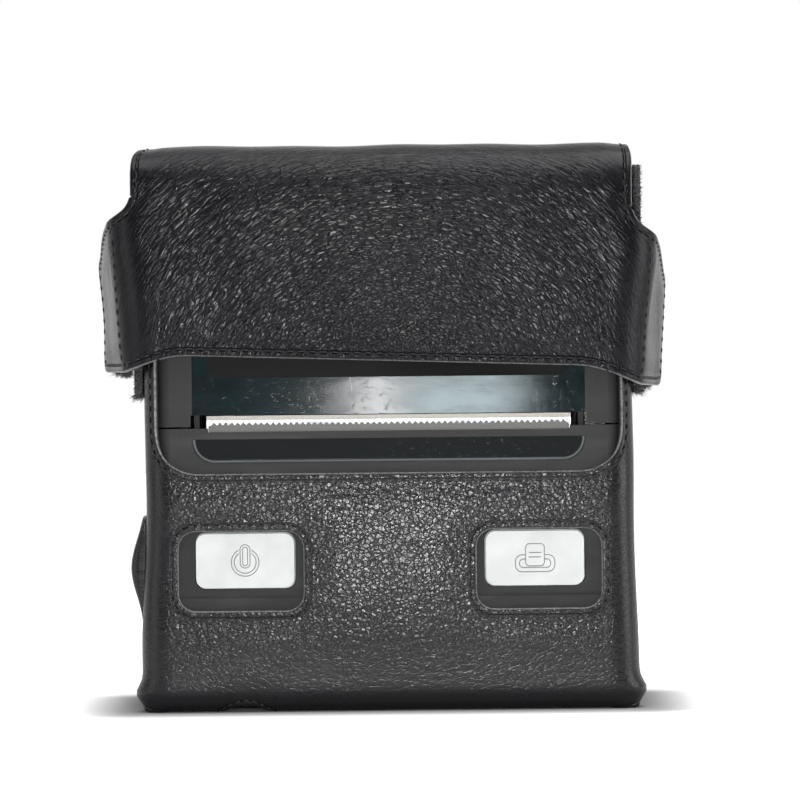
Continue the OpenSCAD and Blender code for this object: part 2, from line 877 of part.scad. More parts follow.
module key_shape(grow) {
    round_rect(-key_w / 2 - grow, -key_h / 2 - grow, key_w / 2 + grow, key_h / 2 + grow, key_r + grow);
}

module front_shell() {
    color("#26272b") difference() {
        union() {
            intersection() {
                difference() {
                    shell_block(-py, 0, foot_z, shell_z);
                    block([wall - px, wall - py, foot_z + wall], [px - wall, 1, shell_z + 1]);
                }
                along_x(-px, body_w) foot_rect(-py, foot_z, py, top_z, toe_r);
            }
            both_sides() block([ledge_x, wall - py - eps, frame_z - ledge_t],
                [px - wall + eps, wall - py + ledge_d, frame_z]);
            at_shell_screws() rod_y(0, wall - py - eps, py - wall + eps, 0, boss_r);
            at_board_screws() rod_y(0, wall - py - eps, board_y - wall + py + eps, 0, standoff_r);
        }
        at_shell_screws() rod_y(0, screw_tip_y - screw_tip_gap, screw_tip_gap - screw_tip_y + 1, 0, screw_r + run);
        at_board_screws() rod_y(0, board_y - board_screw_l - screw_tip_gap, board_screw_l + screw_tip_gap + 1, 0,
            board_screw_r + run);
        for (s = [-1, 1]) along_y(-py - 1, wall + 2) translate([s * key_x, key_cz]) key_shape(key_gap);
        along_y(-py - eps, panel_t - panel_proud + eps) lower_panel_shape(panel_gap);
        along_y(bar_y - bar_gap, wall) translate([-bar_slot_hw, bar_low_z - bar_gap])
            square([2 * bar_slot_hw, bar_h + 1]);
        along_y(-py - 1, wall + 2) translate([-bar_slot_hw, lip_z]) square([2 * bar_slot_hw, bar_h]);
        groove();
        block([-px - 1, board_back_y - socket_gap, socket_z - socket_gap],
            [wall - px + 1, board_back_y + socket_t + socket_gap, socket_z + socket_w + socket_gap]);
        boot_pocket();
        both_sides() translate([mech_screw_x, mech_screw_y, frame_z - mech_screw_l - screw_tip_gap])
            cylinder(r = board_screw_r + run, h = mech_screw_l + screw_tip_gap + 1);
    }
}

// Pocket in the shell's underside that takes the charging plug's boot, open at the rounded toe
module boot_pocket() {
    translate([charge_x, 0, foot_z - 1]) linear_extrude(jack_z - boot_gap - foot_z + 1)
        round_rect(-boot_w / 2, boot_in - py, boot_w / 2, charge_y + boot_back, boot_r);
}

// Shadow groove round the lower shell
module groove() {
    translate([0, 0, foot_z + groove_h]) linear_extrude(groove_w) difference() {
        translate([-px - 1, -py - 1]) square([2 * px + 2, py + 1]);
        round_rect(groove_d - px, groove_d - py, px - groove_d, py + edge_r, edge_r - groove_d);
    }
}

module rear_shell() {
    color("#232427") difference() {
        union() {
            difference() {
                shell_block(0, py, foot_z, arm_z - seam);
                block([wall - px, -1, foot_z + wall], [px - wall, py - wall, arm_z]);
            }
            block([edge_r - px, py - wall, arm_z - 1], [px - edge_r, py, hinge_z]);
            for (s = [-1, 1]) {
                rod_x(s * lug_x - lug_w / 2, lug_w, hinge_y, hinge_z, barrel_r - seam);
                block([s * lug_x - lug_w / 2, hinge_y, hinge_z - lug_l], [s * lug_x + lug_w / 2, py - 1, hinge_z]);
                block([s * bay_wall_x - bay_wall_t / 2, pack_y - cell_r, foot_z + wall - eps],
                    [s * bay_wall_x + bay_wall_t / 2, py - wall + eps, pack_z + pack_h]);
            }
            at_shell_screws() rod_y(0, 0, py - 1, 0, boss_r);
        }
        rod_x(-px, 2 * px, hinge_y, hinge_z, pin_r + run);
        at_shell_screws() {
            rod_y(0, -1, screw_seat_y + 2, 0, screw_r + run);
            rod_y(0, screw_seat_y, py, 0, screw_head_r + screw_head_gap);
        }
        along_y(py - wall - 1, wall + 2) battery_shape(bay_gap);
        along_y(py - door_t, door_t + 1) battery_shape(bay_gap + door_edge + door_gap);
        block([-pack_l / 2 - bay_wall_t - 1, pack_y - contact_hd - contact_fit, contact_z - contact_fit],
            [-pack_l / 2, pack_y + contact_hd + contact_fit, contact_z + contact_h + contact_fit]);
    }
}

// Outline of the battery bay, grown all round
module battery_shape(grow) {
    round_rect(-pack_l / 2 - grow, pack_z - grow, pack_l / 2 + grow, pack_z + pack_h + grow, bay_corner);
}

// Side profile of the lid, grown inwards by a wall
module lid_profile(inset) {
    back_y = inset > 0 ? 1 : -seam;
    low_z = inset > 0 ? split_z - 1 : split_z;
    translate([-py + inset, low_z]) square([back_y + py - inset, top_z - brow_r - low_z]);
    translate([-py + brow_r, low_z]) square([back_y + py - brow_r, top_z - inset - low_z]);
    translate([-py + brow_r, top_z - brow_r]) circle(r = brow_r - inset);
}

module lid_shell() {
    color("#26272b") difference() {
        union() {
            intersection() {
                difference() {
                    along_x(-px, body_w) {
                        lid_profile(0);
                        translate([-seam - eps, arm_z]) square([hinge_y + seam + eps, top_z - arm_z]);
                        translate([hinge_y, hinge_z]) circle(r = barrel_r);
                    }
                    along_x(wall - px, body_w - 2 * wall) {
                        lid_profile(wall);
                        translate([-seam - 1, arm_z - 1])
                            square([hinge_y + seam + 1, top_z - wall - arm_z + 1]);
                    }
                }
                shell_block(-py, py, foot_z, top_z + 1);
            }
            rod_x(wall - px - eps, body_w - 2 * wall + 2 * eps, hinge_y, hinge_z, barrel_r);
            both_sides() yoke();
        }
        rod_x(-pin_hl - pin_end_gap, 2 * (pin_hl + pin_end_gap), hinge_y, hinge_z, pin_r + run);
        rod_x(-yoke_x - yoke_t - 1, 2 * (yoke_x + yoke_t + 1), platen_y, platen_z, shaft_r + run);
        for (s = [-1, 1]) rod_x(s * lug_x - lug_w / 2 - lug_gap, lug_w + 2 * lug_gap,
            hinge_y, hinge_z, barrel_r + seam);
        block([-exit_hw, -py - 1, split_z - 1], [exit_hw, wall - py + eps, exit_z]);
        along_y(-py - eps, panel_t - panel_proud + eps) upper_panel_shape(panel_gap);
    }
}

// Arm inside the lid that carries the platen's shaft
module yoke() {
    along_x(yoke_x, yoke_t) {
        translate([platen_y, platen_z]) circle(r = platen_r - yoke_in);
        translate([wall - py - eps, platen_z - platen_r + yoke_in])
            square([platen_y - wall + py + eps, 2 * platen_r + 1]);
    }
}

// Outlines of the two glossy panels, grown all round
module upper_panel_shape(grow) {
    low = upper_z - grow;
    high = upper_top_z + grow;
    translate([-panel_hw - grow, low]) square([2 * (panel_hw + grow), panel_corner]);
    round_rect(-panel_hw - grow, low, panel_hw + grow, high, panel_corner);
}
module lower_panel_shape(grow) {
    foot_rect(-panel_hw - grow, lower_z - grow, panel_hw + grow, lower_top_z + grow, lower_r + grow);
}

// Upper panel, sunk in its middle above a frame of its own surface
module upper_panel() {
    color("#0c1a20") difference() {
        along_y(-py - panel_proud, panel_t) upper_panel_shape(0);
        along_y(-py - panel_proud - 1, inlay_d + 1)
            round_rect(-inlay_hw, inlay_z, inlay_hw, upper_top_z - inlay_edge, inlay_r);
    }
}
module lower_panel() {
    color("#0c1418") along_y(-py - panel_proud, panel_t) lower_panel_shape(0);
}

// Steel strip with saw teeth along its top edge
module tear_bar() {
    count = floor(2 * bar_hw / tooth_pitch);
    low = bar_top_z - tooth_h;
    half = count * tooth_pitch / 2;
    color("#a9acae") along_y(bar_y, bar_t) polygon(concat(
        [[-bar_hw, bar_low_z], [bar_hw, bar_low_z], [bar_hw, low], [half, low]],
        [for (i = [count - 1:-1:0]) each [[(i + 0.5) * tooth_pitch - half, bar_top_z],
            [i * tooth_pitch - half, low]]],
        [[-bar_hw, low]]));
}

module hinge_pin() {
    color("#8d9093") rod_x(-pin_hl, 2 * pin_hl, hinge_y, hinge_z, pin_r);
}

// Battery

module battery_door() {
    color("#232427") {
        along_y(py - door_t, door_t) battery_shape(0.3 + door_edge);
    }
}

module battery_pack() {
    color("#2f5d8a") along_x(-pack_l / 2, pack_l) {
        for (z = [pack_z + cell_r, pack_z + pack_h - cell_r]) translate([pack_y, z]) circle(r = cell_r);
        translate([pack_y - cell_r, pack_z + cell_r]) square([2 * cell_r, pack_h - 2 * cell_r]);
    }
}

// Contact block in the wall of the battery bay, with three blades
module battery_contacts() {
    color("#c9b26a") {
        block([contact_x - contact_t, pack_y - contact_hd, contact_z],
            [contact_x, pack_y + contact_hd, contact_z + contact_h]);
        for (k = [-1:1]) translate([contact_x - eps, pack_y - blade_hd,
            contact_z + contact_h / 2 - blade_h / 2 + k * blade_pitch])
            cube([blade_reach + eps, 2 * blade_hd, blade_h]);
    }
}

// Print mechanism

// Steel channel: floor under the head and a cheek at each end, the right one with the motor's seat
module mech_frame() {
    color("#9a9d9f") difference() {
        union() {
            block([-ear_x, head_y, frame_z], [ear_x, head_back_y, frame_z + frame_t]);
            both_sides() along_x(cheek_x, frame_t) cheek_shape();
            along_x(cheek_x, frame_t) {
                translate([head_back_y - 1, frame_z]) square([motor_y - head_back_y + 1, motor_z - frame_z]);
                translate([motor_y, motor_z]) circle(r = motor_r + motor_rim);
            }
        }
        both_sides() translate([mech_screw_x, mech_screw_y, frame_z - 1])
            cylinder(r = board_screw_r + board_hole_gap, h = frame_t + 2);
        rod_x(cheek_x - 1, frame_t + 2, motor_y, motor_z, spindle_r + motor_rim);
        rod_x(cheek_x - 1, frame_t + 2, train_y, train_z, stud_r + run);
    }
}

// Cheek with a slot that is open the way the platen's bush leaves
module cheek_shape() {
    slot_r = bush_r + slot_gap;
    difference() {
        translate([head_y, frame_z]) square([head_d, platen_z + cheek_top - frame_z]);
        translate([platen_y, platen_z]) {
            circle(r = slot_r);
            rotate(atan2(leave_z, leave_y)) translate([0, -slot_r]) square([4 * bush_r, 2 * slot_r]);
            translate([-head_d, 0]) square([head_d, 2 * head_d]);
        }
    }
}

module print_head() {
    color("#d8d4c8") block([-head_hw, head_y, head_z], [head_hw, head_back_y, head_z + head_t]);
}

// Aluminium bar with grooves across its underside
module heat_sink() {
    count = floor((head_hw - fin_margin) / fin_pitch);
    color("#b4b7ba") difference() {
        block([-head_hw, head_y + sink_in, sink_z], [head_hw, head_back_y, head_z]);
        for (i = [-count:count - 1]) translate([(i + 0.5) * fin_pitch - fin_slot_w / 2, head_y - 1, sink_z - 1])
            cube([fin_slot_w, head_d + 2, fin_slot_h + 1]);
    }
}

module head_springs() {
    color("#c4c6c8") for (x = spring_xs) spring(x, head_y + head_d / 2, spring_z);
}

module platen_shaft() {
    out_x = bush_x + bush_l + shaft_over;
    color("#a7aaad") rod_x(-out_x, out_x + gear_x + gear_w, platen_y, platen_z, shaft_r);
}

module platen_rubber() {
    color("#1a1a1a") difference() {
        rod_x(-platen_hl, 2 * platen_hl, platen_y, platen_z, platen_r);
        rod_x(-platen_hl - 1, 2 * platen_hl + 2, platen_y, platen_z, shaft_r);
    }
}

module platen_bushes() {
    color("#cfcabb") both_sides() difference() {
        rod_x(bush_x, bush_l, platen_y, platen_z, bush_r);
        rod_x(bush_x - 1, bush_l + 2, platen_y, platen_z, shaft_r + run);
    }
}

// Turn that puts a tooth gap of the second gear opposite a tooth of the first
function mesh_phase(dir, phase, teeth_a, teeth_b) =
    dir + 180 - (dir - phase) * -teeth_a / teeth_b + 180 / teeth_b;

// Directions of the gear centres, as the gears are drawn looking along the shafts
train_dir = atan2(train_y - platen_y, platen_z - train_z);
motor_dir = atan2(motor_y - train_y, train_z - motor_z);
platen_phase = 0;
step_phase = mesh_phase(train_dir, platen_phase, platen_teeth, step_teeth);
large_phase = 0;
pinion_phase = mesh_phase(motor_dir, large_phase, large_teeth, pinion_teeth);

module platen_gear() {
    color("#e6e2d6") difference() {
        gear_at(gear_x, gear_w, platen_y, platen_z, platen_phase, platen_teeth, backlash);
        rod_x(gear_x - 1, gear_w + 2, platen_y, platen_z, shaft_r);
    }
}

module compound_gear() {
    color("#e6e2d6") difference() {
        union() {
            gear_at(gear_x, gear_w + step_gap + eps, train_y, train_z, step_phase, step_teeth, backlash);
            gear_at(large_x, pinion_w, train_y, train_z, large_phase, large_teeth, backlash);
        }
        rod_x(gear_x - 1, gear_w + pinion_w + 3, train_y, train_z, stud_r + run);
    }
}

// Stud that carries the compound gear, riveted in the frame's right cheek
module gear_stud() {
    color("#8d9093") {
        rod_x(cheek_x, stud_x - cheek_x + eps, train_y, train_z, stud_r);
        rod_x(stud_x, stud_head_t, train_y, train_z, stud_head_r);
    }
}

module motor_pinion() {
    color("#c8a24a") difference() {
        gear_at(large_x, pinion_w, motor_y, motor_z, pinion_phase, pinion_teeth, backlash);
        rod_x(large_x - 1, pinion_w + 2, motor_y, motor_z, spindle_r);
    }
}

module motor_shaft() {
    color("#a7aaad") rod_x(cheek_x - spindle_in, large_x + pinion_w - cheek_x + spindle_in + spindle_over,
        motor_y, motor_z, spindle_r);
}

module stepper_motor() {
    color("#7f8386") difference() {
        rod_x(cheek_x - motor_l, motor_l, motor_y, motor_z, motor_r);
        rod_x(cheek_x - spindle_in - slack, spindle_in + slack + 1, motor_y, motor_z, spindle_r + spindle_gap);
    }
}

// Paper bay

// Trough for the roll with a guide at each end and a tab to each side wall
module roll_cradle() {
    color("#202124") {
        along_x(-cradle_hw, 2 * cradle_hw) translate([roll_y, roll_z])
            arc_band(cradle_in_r, cradle_out_r, trough_a0, trough_span);
        both_sides() {
            along_x(cradle_hw - eps, guide_t) translate([guide_front_y, guide_low_z])
                square([py - wall - guide_front_y, guide_top_z - guide_low_z]);
            block([cradle_hw + guide_t - 2 * eps, tab_in_y, roll_z - tab_fall],
                [px - wall - tab_gap, tab_in_y + tab_l, roll_z - tab_fall + tab_t]);
        }
    }
}

module paper_roll() {
    color("#f2f1ec") difference() {
        rod_x(-roll_hl, 2 * roll_hl, roll_y, roll_z, roll_r);
        rod_x(-roll_hl - 1, 2 * roll_hl + 2, roll_y, roll_z, core_r);
    }
}

module paper_core() {
    color("#b99b6b") difference() {
        rod_x(-roll_hl, 2 * roll_hl, roll_y, roll_z, core_r);
        rod_x(-roll_hl - 1, 2 * roll_hl + 2, roll_y, roll_z, core_r - core_t);
    }
}

module paper_sensor() {
    top = roll_z - sqrt(pow(cradle_out_r, 2) - pow(sensor_y, 2)) - sensor_gap;
    color("#111214") block([-sensor_hw, sensor_y - sensor_d, top - sensor_h], [sensor_hw, sensor_y, top]);
}

// Electronics

module main_board() {
    color("#1f5a3a") along_y(board_y, board_t) difference() {
        union() {
            translate([-board_hw, board_z]) square([2 * board_hw, board_top_z - board_z]);
            translate([-board_hw - tab_reach, board_z + tab_low]) square([tab_reach + 1, tab_high - tab_low]);
        }
        for (x = [-standoff_x, standoff_x], z = standoff_zs) translate([x, z])
            circle(r = board_screw_r + board_hole_gap);
    }
}

// Flat part on the board's back, centred at x and z
module back_chip(x, z, half_w, half_h, t) {
    block([x - half_w, board_back_y, z - half_h], [x + half_w, board_back_y + t, z + half_h]);
}

module main_chip() {
    color("#151618") back_chip(0, board_mid_z, chip_hw, chip_hw, chip_t);
}

module driver_chip() {
    z = board_top_z - plug_h - driver_gap - driver_hw;
    color("#151618") back_chip(driver_x, z, driver_hw, driver_hw, driver_t);
}

module radio_module() {
    z = board_mid_z + radio_up;
    color("#b9bcbe") block([radio_x - radio_hw, board_y - radio_t, z - radio_hh],
        [radio_x + radio_hw, board_y, z + radio_hh]);
}

module ribbon_connector() {
    color("#e3dfd2") block([-plug_hw, board_back_y, board_top_z - plug_h],
        [plug_hw, head_back_y - plug_gap, board_top_z]);
}

// Flat flexible lead from the board's connector up to the back of the print head
module head_ribbon() {
    color("#b8863a") block([-ribbon_hw, head_back_y, board_top_z - ribbon_in],
        [ribbon_hw, head_back_y + ribbon_t, head_z + head_t]);
}

module data_socket() {
    back_x = socket_in + socket_l - px;
    color("#b9bcbe") difference() {
        block([socket_in - px, board_back_y, socket_z], [back_x, board_back_y + socket_t, socket_z + socket_w]);
        block([-px, board_back_y + socket_wall, socket_z + socket_wall],
            [back_x - 4 * socket_wall, board_back_y + socket_t - socket_wall, socket_z + socket_w - socket_wall]);
    }
}

// Round charging socket that looks down through the base
module charge_socket() {
    depth = jack_h - jack_floor;
    color("#17181a") {
        difference() {
            block([charge_x - jack_w / 2, charge_y - jack_front, jack_z],
                [charge_x + jack_w / 2, board_y, jack_z + jack_h]);
            translate([charge_x, charge_y, jack_z - 1]) cylinder(r = jack_r, h = depth + 1);
        }
        translate([charge_x, charge_y, jack_z + jack_pin_up]) cylinder(r = jack_pin_r, h = depth);
    }
}

// Push switch on the front of the board
module push_switch(x) {
    color("#202225") {
        block([x - switch_w / 2, board_y - switch_t, key_cz - switch_w / 2],
            [x + switch_w / 2, board_y, key_cz + switch_w / 2]);
        rod_y(x, plunger_y, board_y - switch_t - plunger_y + eps, key_cz, plunger_r);
    }
}
module power_switch() { push_switch(-key_x); }
module feed_switch() { push_switch(key_x); }

// Button: a cap through the shell, a flange behind its wall and a stem to the switch
module button(x) {
    color("#c9cacc") {
        along_y(key_face_y, key_back_y - key_face_y + eps) translate([x, key_cz]) key_shape(0);
        along_y(key_back_y, flange_t) translate([x, key_cz]) key_shape(flange_lip);
        rod_y(x, key_back_y + flange_t - eps, stem_l + eps, key_cz, stem_r);
    }
}
module power_button() { button(-key_x); }
module feed_button() { button(key_x); }

// Screws

module shell_screws() {
    color("#5b5e61") at_shell_screws() {
        rod_y(0, screw_tip_y, screw_seat_y - screw_tip_y + eps, 0, screw_r);
        rod_y(0, screw_seat_y, screw_head_t, 0, screw_head_r);
    }
}

module board_screws() {
    color("#5b5e61") at_board_screws() {
        rod_y(0, board_y - board_screw_l, board_t + board_screw_l + eps, 0, board_screw_r);
        rod_y(0, board_back_y, board_head_t, 0, board_head_r);
    }
}

module mech_screws() {
    color("#5b5e61") both_sides() translate([mech_screw_x, mech_screw_y, frame_z]) {
        translate([0, 0, -mech_screw_l]) cylinder(r = board_screw_r, h = mech_screw_l + frame_t + eps);
        translate([0, 0, frame_t]) cylinder(r = mech_head_r, h = mech_head_t);
    }
}

case_wrap();
case_back();
case_base();
port_rim();
belt_loop();
loop_patch_left();
loop_patch_right();
flap_top();
flap_front();
wing_left();
wing_right();
hook_patch_left();
hook_patch_right();
front_shell();
rear_shell();
lid_shell();
upper_panel();
lower_panel();
tear_bar();
hinge_pin();
battery_door();
battery_pack();
battery_contacts();
mech_frame();
print_head();
heat_sink();
head_springs();
platen_shaft();
platen_rubber();
platen_bushes();
platen_gear();
compound_gear();
gear_stud();
motor_pinion();
motor_shaft();
stepper_motor();
roll_cradle();
paper_roll();
paper_core();
paper_sensor();
head_ribbon();
ribbon_connector();
main_board();
main_chip();
driver_chip();
radio_module();
data_socket();
charge_socket();
power_switch();
feed_switch();
power_button();
feed_button();
shell_screws();
board_screws();
mech_screws();
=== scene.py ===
"""Looks of a portable thermal printer in a fitted leather carrying case."""
import math

import bpy
import numpy as np
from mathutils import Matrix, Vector, geometry


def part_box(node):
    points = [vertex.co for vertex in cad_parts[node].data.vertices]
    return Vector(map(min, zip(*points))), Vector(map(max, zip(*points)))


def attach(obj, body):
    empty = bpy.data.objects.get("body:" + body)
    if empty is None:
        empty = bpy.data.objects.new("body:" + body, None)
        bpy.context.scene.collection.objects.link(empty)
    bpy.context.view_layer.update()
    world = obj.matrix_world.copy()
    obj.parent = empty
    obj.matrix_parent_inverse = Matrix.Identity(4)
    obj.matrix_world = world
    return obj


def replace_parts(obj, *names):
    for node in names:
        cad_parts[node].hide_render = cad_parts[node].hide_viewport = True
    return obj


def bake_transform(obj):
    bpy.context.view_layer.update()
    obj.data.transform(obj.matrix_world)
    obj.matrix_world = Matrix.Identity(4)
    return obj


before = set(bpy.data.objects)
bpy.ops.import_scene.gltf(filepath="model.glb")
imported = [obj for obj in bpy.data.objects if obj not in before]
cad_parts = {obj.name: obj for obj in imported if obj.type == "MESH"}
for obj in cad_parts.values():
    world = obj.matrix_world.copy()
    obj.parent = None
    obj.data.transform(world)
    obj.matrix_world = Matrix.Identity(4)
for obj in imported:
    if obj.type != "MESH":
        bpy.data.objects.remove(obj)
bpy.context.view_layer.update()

MM = 0.001
QUARTER = math.pi / 2


def edge_of(node, side, axis):
    """Coordinate in millimetres of one side of a node's box."""
    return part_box(node)[side][axis] / MM


# Main sizes of the leather, from the solids, in millimetres

LEATHER = 1.8
CASE_X = edge_of("case_wrap", 1, 0)
CASE_Y = -edge_of("case_wrap", 0, 1)
WRAP_R = 6.0
HEM_R = 5.0
SIDE_TOP = edge_of("case_wrap", 1, 2)
FLAP_Y = -edge_of("flap_front", 0, 1)
FLAP_Z = edge_of("flap_top", 1, 2)
BEND_R = 10.0
BACK_R = 3.0
BEND_Y = BEND_R - FLAP_Y
TOP_L = CASE_Y - BACK_R - BEND_Y
FLAP_LOW = 78.5
WING_LOW = edge_of("wing_left", 0, 2)
WING_R = 8.0
WING_X = 53.3
WING_L = 23.0
NECK = 54.5
WING_TOP = 100.6
EDGE_STEP = 0.9      # spacing of the points along a cut edge
SEAM_IN = 1.62       # stitches of the flap, in from its cut edge
WINDOW_SEAM = 1.9    # stitches round a window, out from its cut edge
SIDES = ((-1, "left"), (1, "right"))
BUTTON_X, BUTTON_Z = 32.5, 34.0
ROLL_Z = 91.9


# Curves in the flat, as arrays of points


def smooth(t):
    """0 to 1 as t goes from 0 to 1, level at both ends: t squared times (3 - 2t), held outside."""
    t = np.clip(t, 0, 1)
    return t * t * (3 - 2 * t)


def mix(a, b, t):
    """From a at t = 0 to b at t = 1."""
    return a + (b - a) * t


def run_of(points):
    """Distance along a line at each of its points."""
    return np.concatenate([[0], np.cumsum(np.hypot(*np.diff(points, axis=0).T))])


def unit(ways):
    """Vectors divided by their length."""
    return ways / np.maximum(np.linalg.norm(ways, axis=1), 1e-9)[:, None]


def left_of(ways):
    """Vectors in the flat turned to the left by a quarter."""
    return np.column_stack([-ways[:, 1], ways[:, 0]])


def even(points, step, closed=True):
    """Points at an even spacing of about step along a line through the given points."""
    points = np.asarray(points, float)
    if closed:
        points = np.vstack([points, points[:1]])
    length = run_of(points)
    count = max(2, int(round(length[-1] / step)))
    at = np.linspace(0, length[-1], count + 1)[:count if closed else None]
    return np.column_stack([np.interp(at, length, points[:, i]) for i in range(points.shape[1])])


def turn(cx, cy, r, start, end, count=9):
    """Points of an arc round (cx, cy): centre plus r times the cosine and sine of each angle in degrees."""
    a = np.radians(np.linspace(start, end, count))
    return np.column_stack([cx + r * np.cos(a), cy + r * np.sin(a)])


def round_box(x0, y0, x1, y1, r):
    """A rectangle with rounded corners, anticlockwise."""
    return np.vstack([turn(x1 - r, y0 + r, r, -90, 0), turn(x1 - r, y1 - r, r, 0, 90),
                      turn(x0 + r, y1 - r, r, 90, 180), turn(x0 + r, y0 + r, r, 180, 270)])


def window(x, y, w, h, r, out=0.0):
    """A rounded rectangle round its middle, made larger on every side."""
    return round_box(x - w / 2 - out, y - h / 2 - out, x + w / 2 + out, y + h / 2 + out, r + out)


def other_half(points):
    """The points on the other side of the middle, in the opposite order."""
    return points[::-1] * [-1, 1]


def area(loop):
    """Signed area of a closed loop: half the sum of the cross products of neighbours."""
    x, y = loop.T
    return 0.5 * np.sum(x * np.roll(y, -1) - np.roll(x, -1) * y)


def inward(loop, distance):
    """The closed loop moved to its left by a distance, square to the mean direction at each point."""
    return loop + distance * left_of(unit(np.roll(loop, -1, 0) - np.roll(loop, 1, 0)))


def away(points, loops):
    """Distance of each point from the nearest of some closed loops: square to each straight bit, held at its ends."""
    best = np.full(len(points), 1e9)
    for loop in loops:
        d = (np.roll(loop, -1, 0) - loop)[None]
        for k in range(0, len(points), 4000):
            p = points[k:k + 4000, None, :] - loop[None]
            t = np.clip((p * d).sum(2) / np.maximum((d * d).sum(2), 1e-12), 0, 1)
            gap = np.hypot(*np.moveaxis(p - t[..., None] * d, 2, 0)).min(1)
            best[k:k + 4000] = np.minimum(best[k:k + 4000], gap)
    return best


def inside(points, loop):
    """Whether each point is in a loop: an odd number of the loop's sides lies to its right."""
    x, y = points[:, 0][:, None], points[:, 1][:, None]
    ax, ay = loop.T
    bx, by = np.roll(loop, -1, 0).T
    cross = (ay > y) != (by > y)
    with np.errstate(divide="ignore", invalid="ignore"):
        at = (bx - ax) * (y - ay) / np.where(by == ay, 1e-12, by - ay) + ax
    return (cross & (x < at)).sum(1) % 2 == 1


# Meshes


def new_piece(name, points, faces, finish, body=None, attributes=None):
    """An object at the origin, from points in millimetres and lists of face corners."""
    mesh = bpy.data.meshes.new(name)
    corners = [f for part in faces for f in np.asarray(part).tolist()]
    mesh.from_pydata((np.asarray(points, float) * MM).tolist(), [], corners)
    for key, values in (attributes or {}).items():
        values = np.asarray(values, np.float32)
        kind, field = ("FLOAT_VECTOR", "vector") if values.ndim == 2 else ("FLOAT", "value")
        mesh.attributes.new(key, kind, "POINT").data.foreach_set(field, values.ravel())
    mesh.polygons.foreach_set("use_smooth", np.ones(len(mesh.polygons), bool))
    mesh.materials.append(finish)
    mesh.update()
    mesh.set_sharp_from_angle(angle=math.radians(50))
    piece = bpy.data.objects.new(name, mesh)
    bpy.context.scene.collection.objects.link(piece)
    if body:
        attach(piece, body)
    return piece


def grid_faces(rows, columns, closed=False):
    """Corners of the faces between neighbouring points of rows of points: each row is a ring, and closed joins the last
    row to the first."""
    i, j = np.meshgrid(np.arange(rows if closed else rows - 1), np.arange(columns), indexing="ij")
    i, j, i1, j1 = (a.ravel() for a in (i, j, (i + 1) % rows, (j + 1) % columns))
    return np.column_stack([i * columns + j, i1 * columns + j, i1 * columns + j1, i * columns + j1])


def strands(count, rings, ring):
    """Faces of strands whose points follow one another ring by ring: their sides and their two ends."""
    base = (np.arange(count) * rings * ring)[:, None, None]
    ends = np.array([np.arange(ring)[::-1], (rings - 1) * ring + np.arange(ring)])
    return (grid_faces(rings, ring) + base).reshape(-1, 4), (ends + base).reshape(-1, ring)


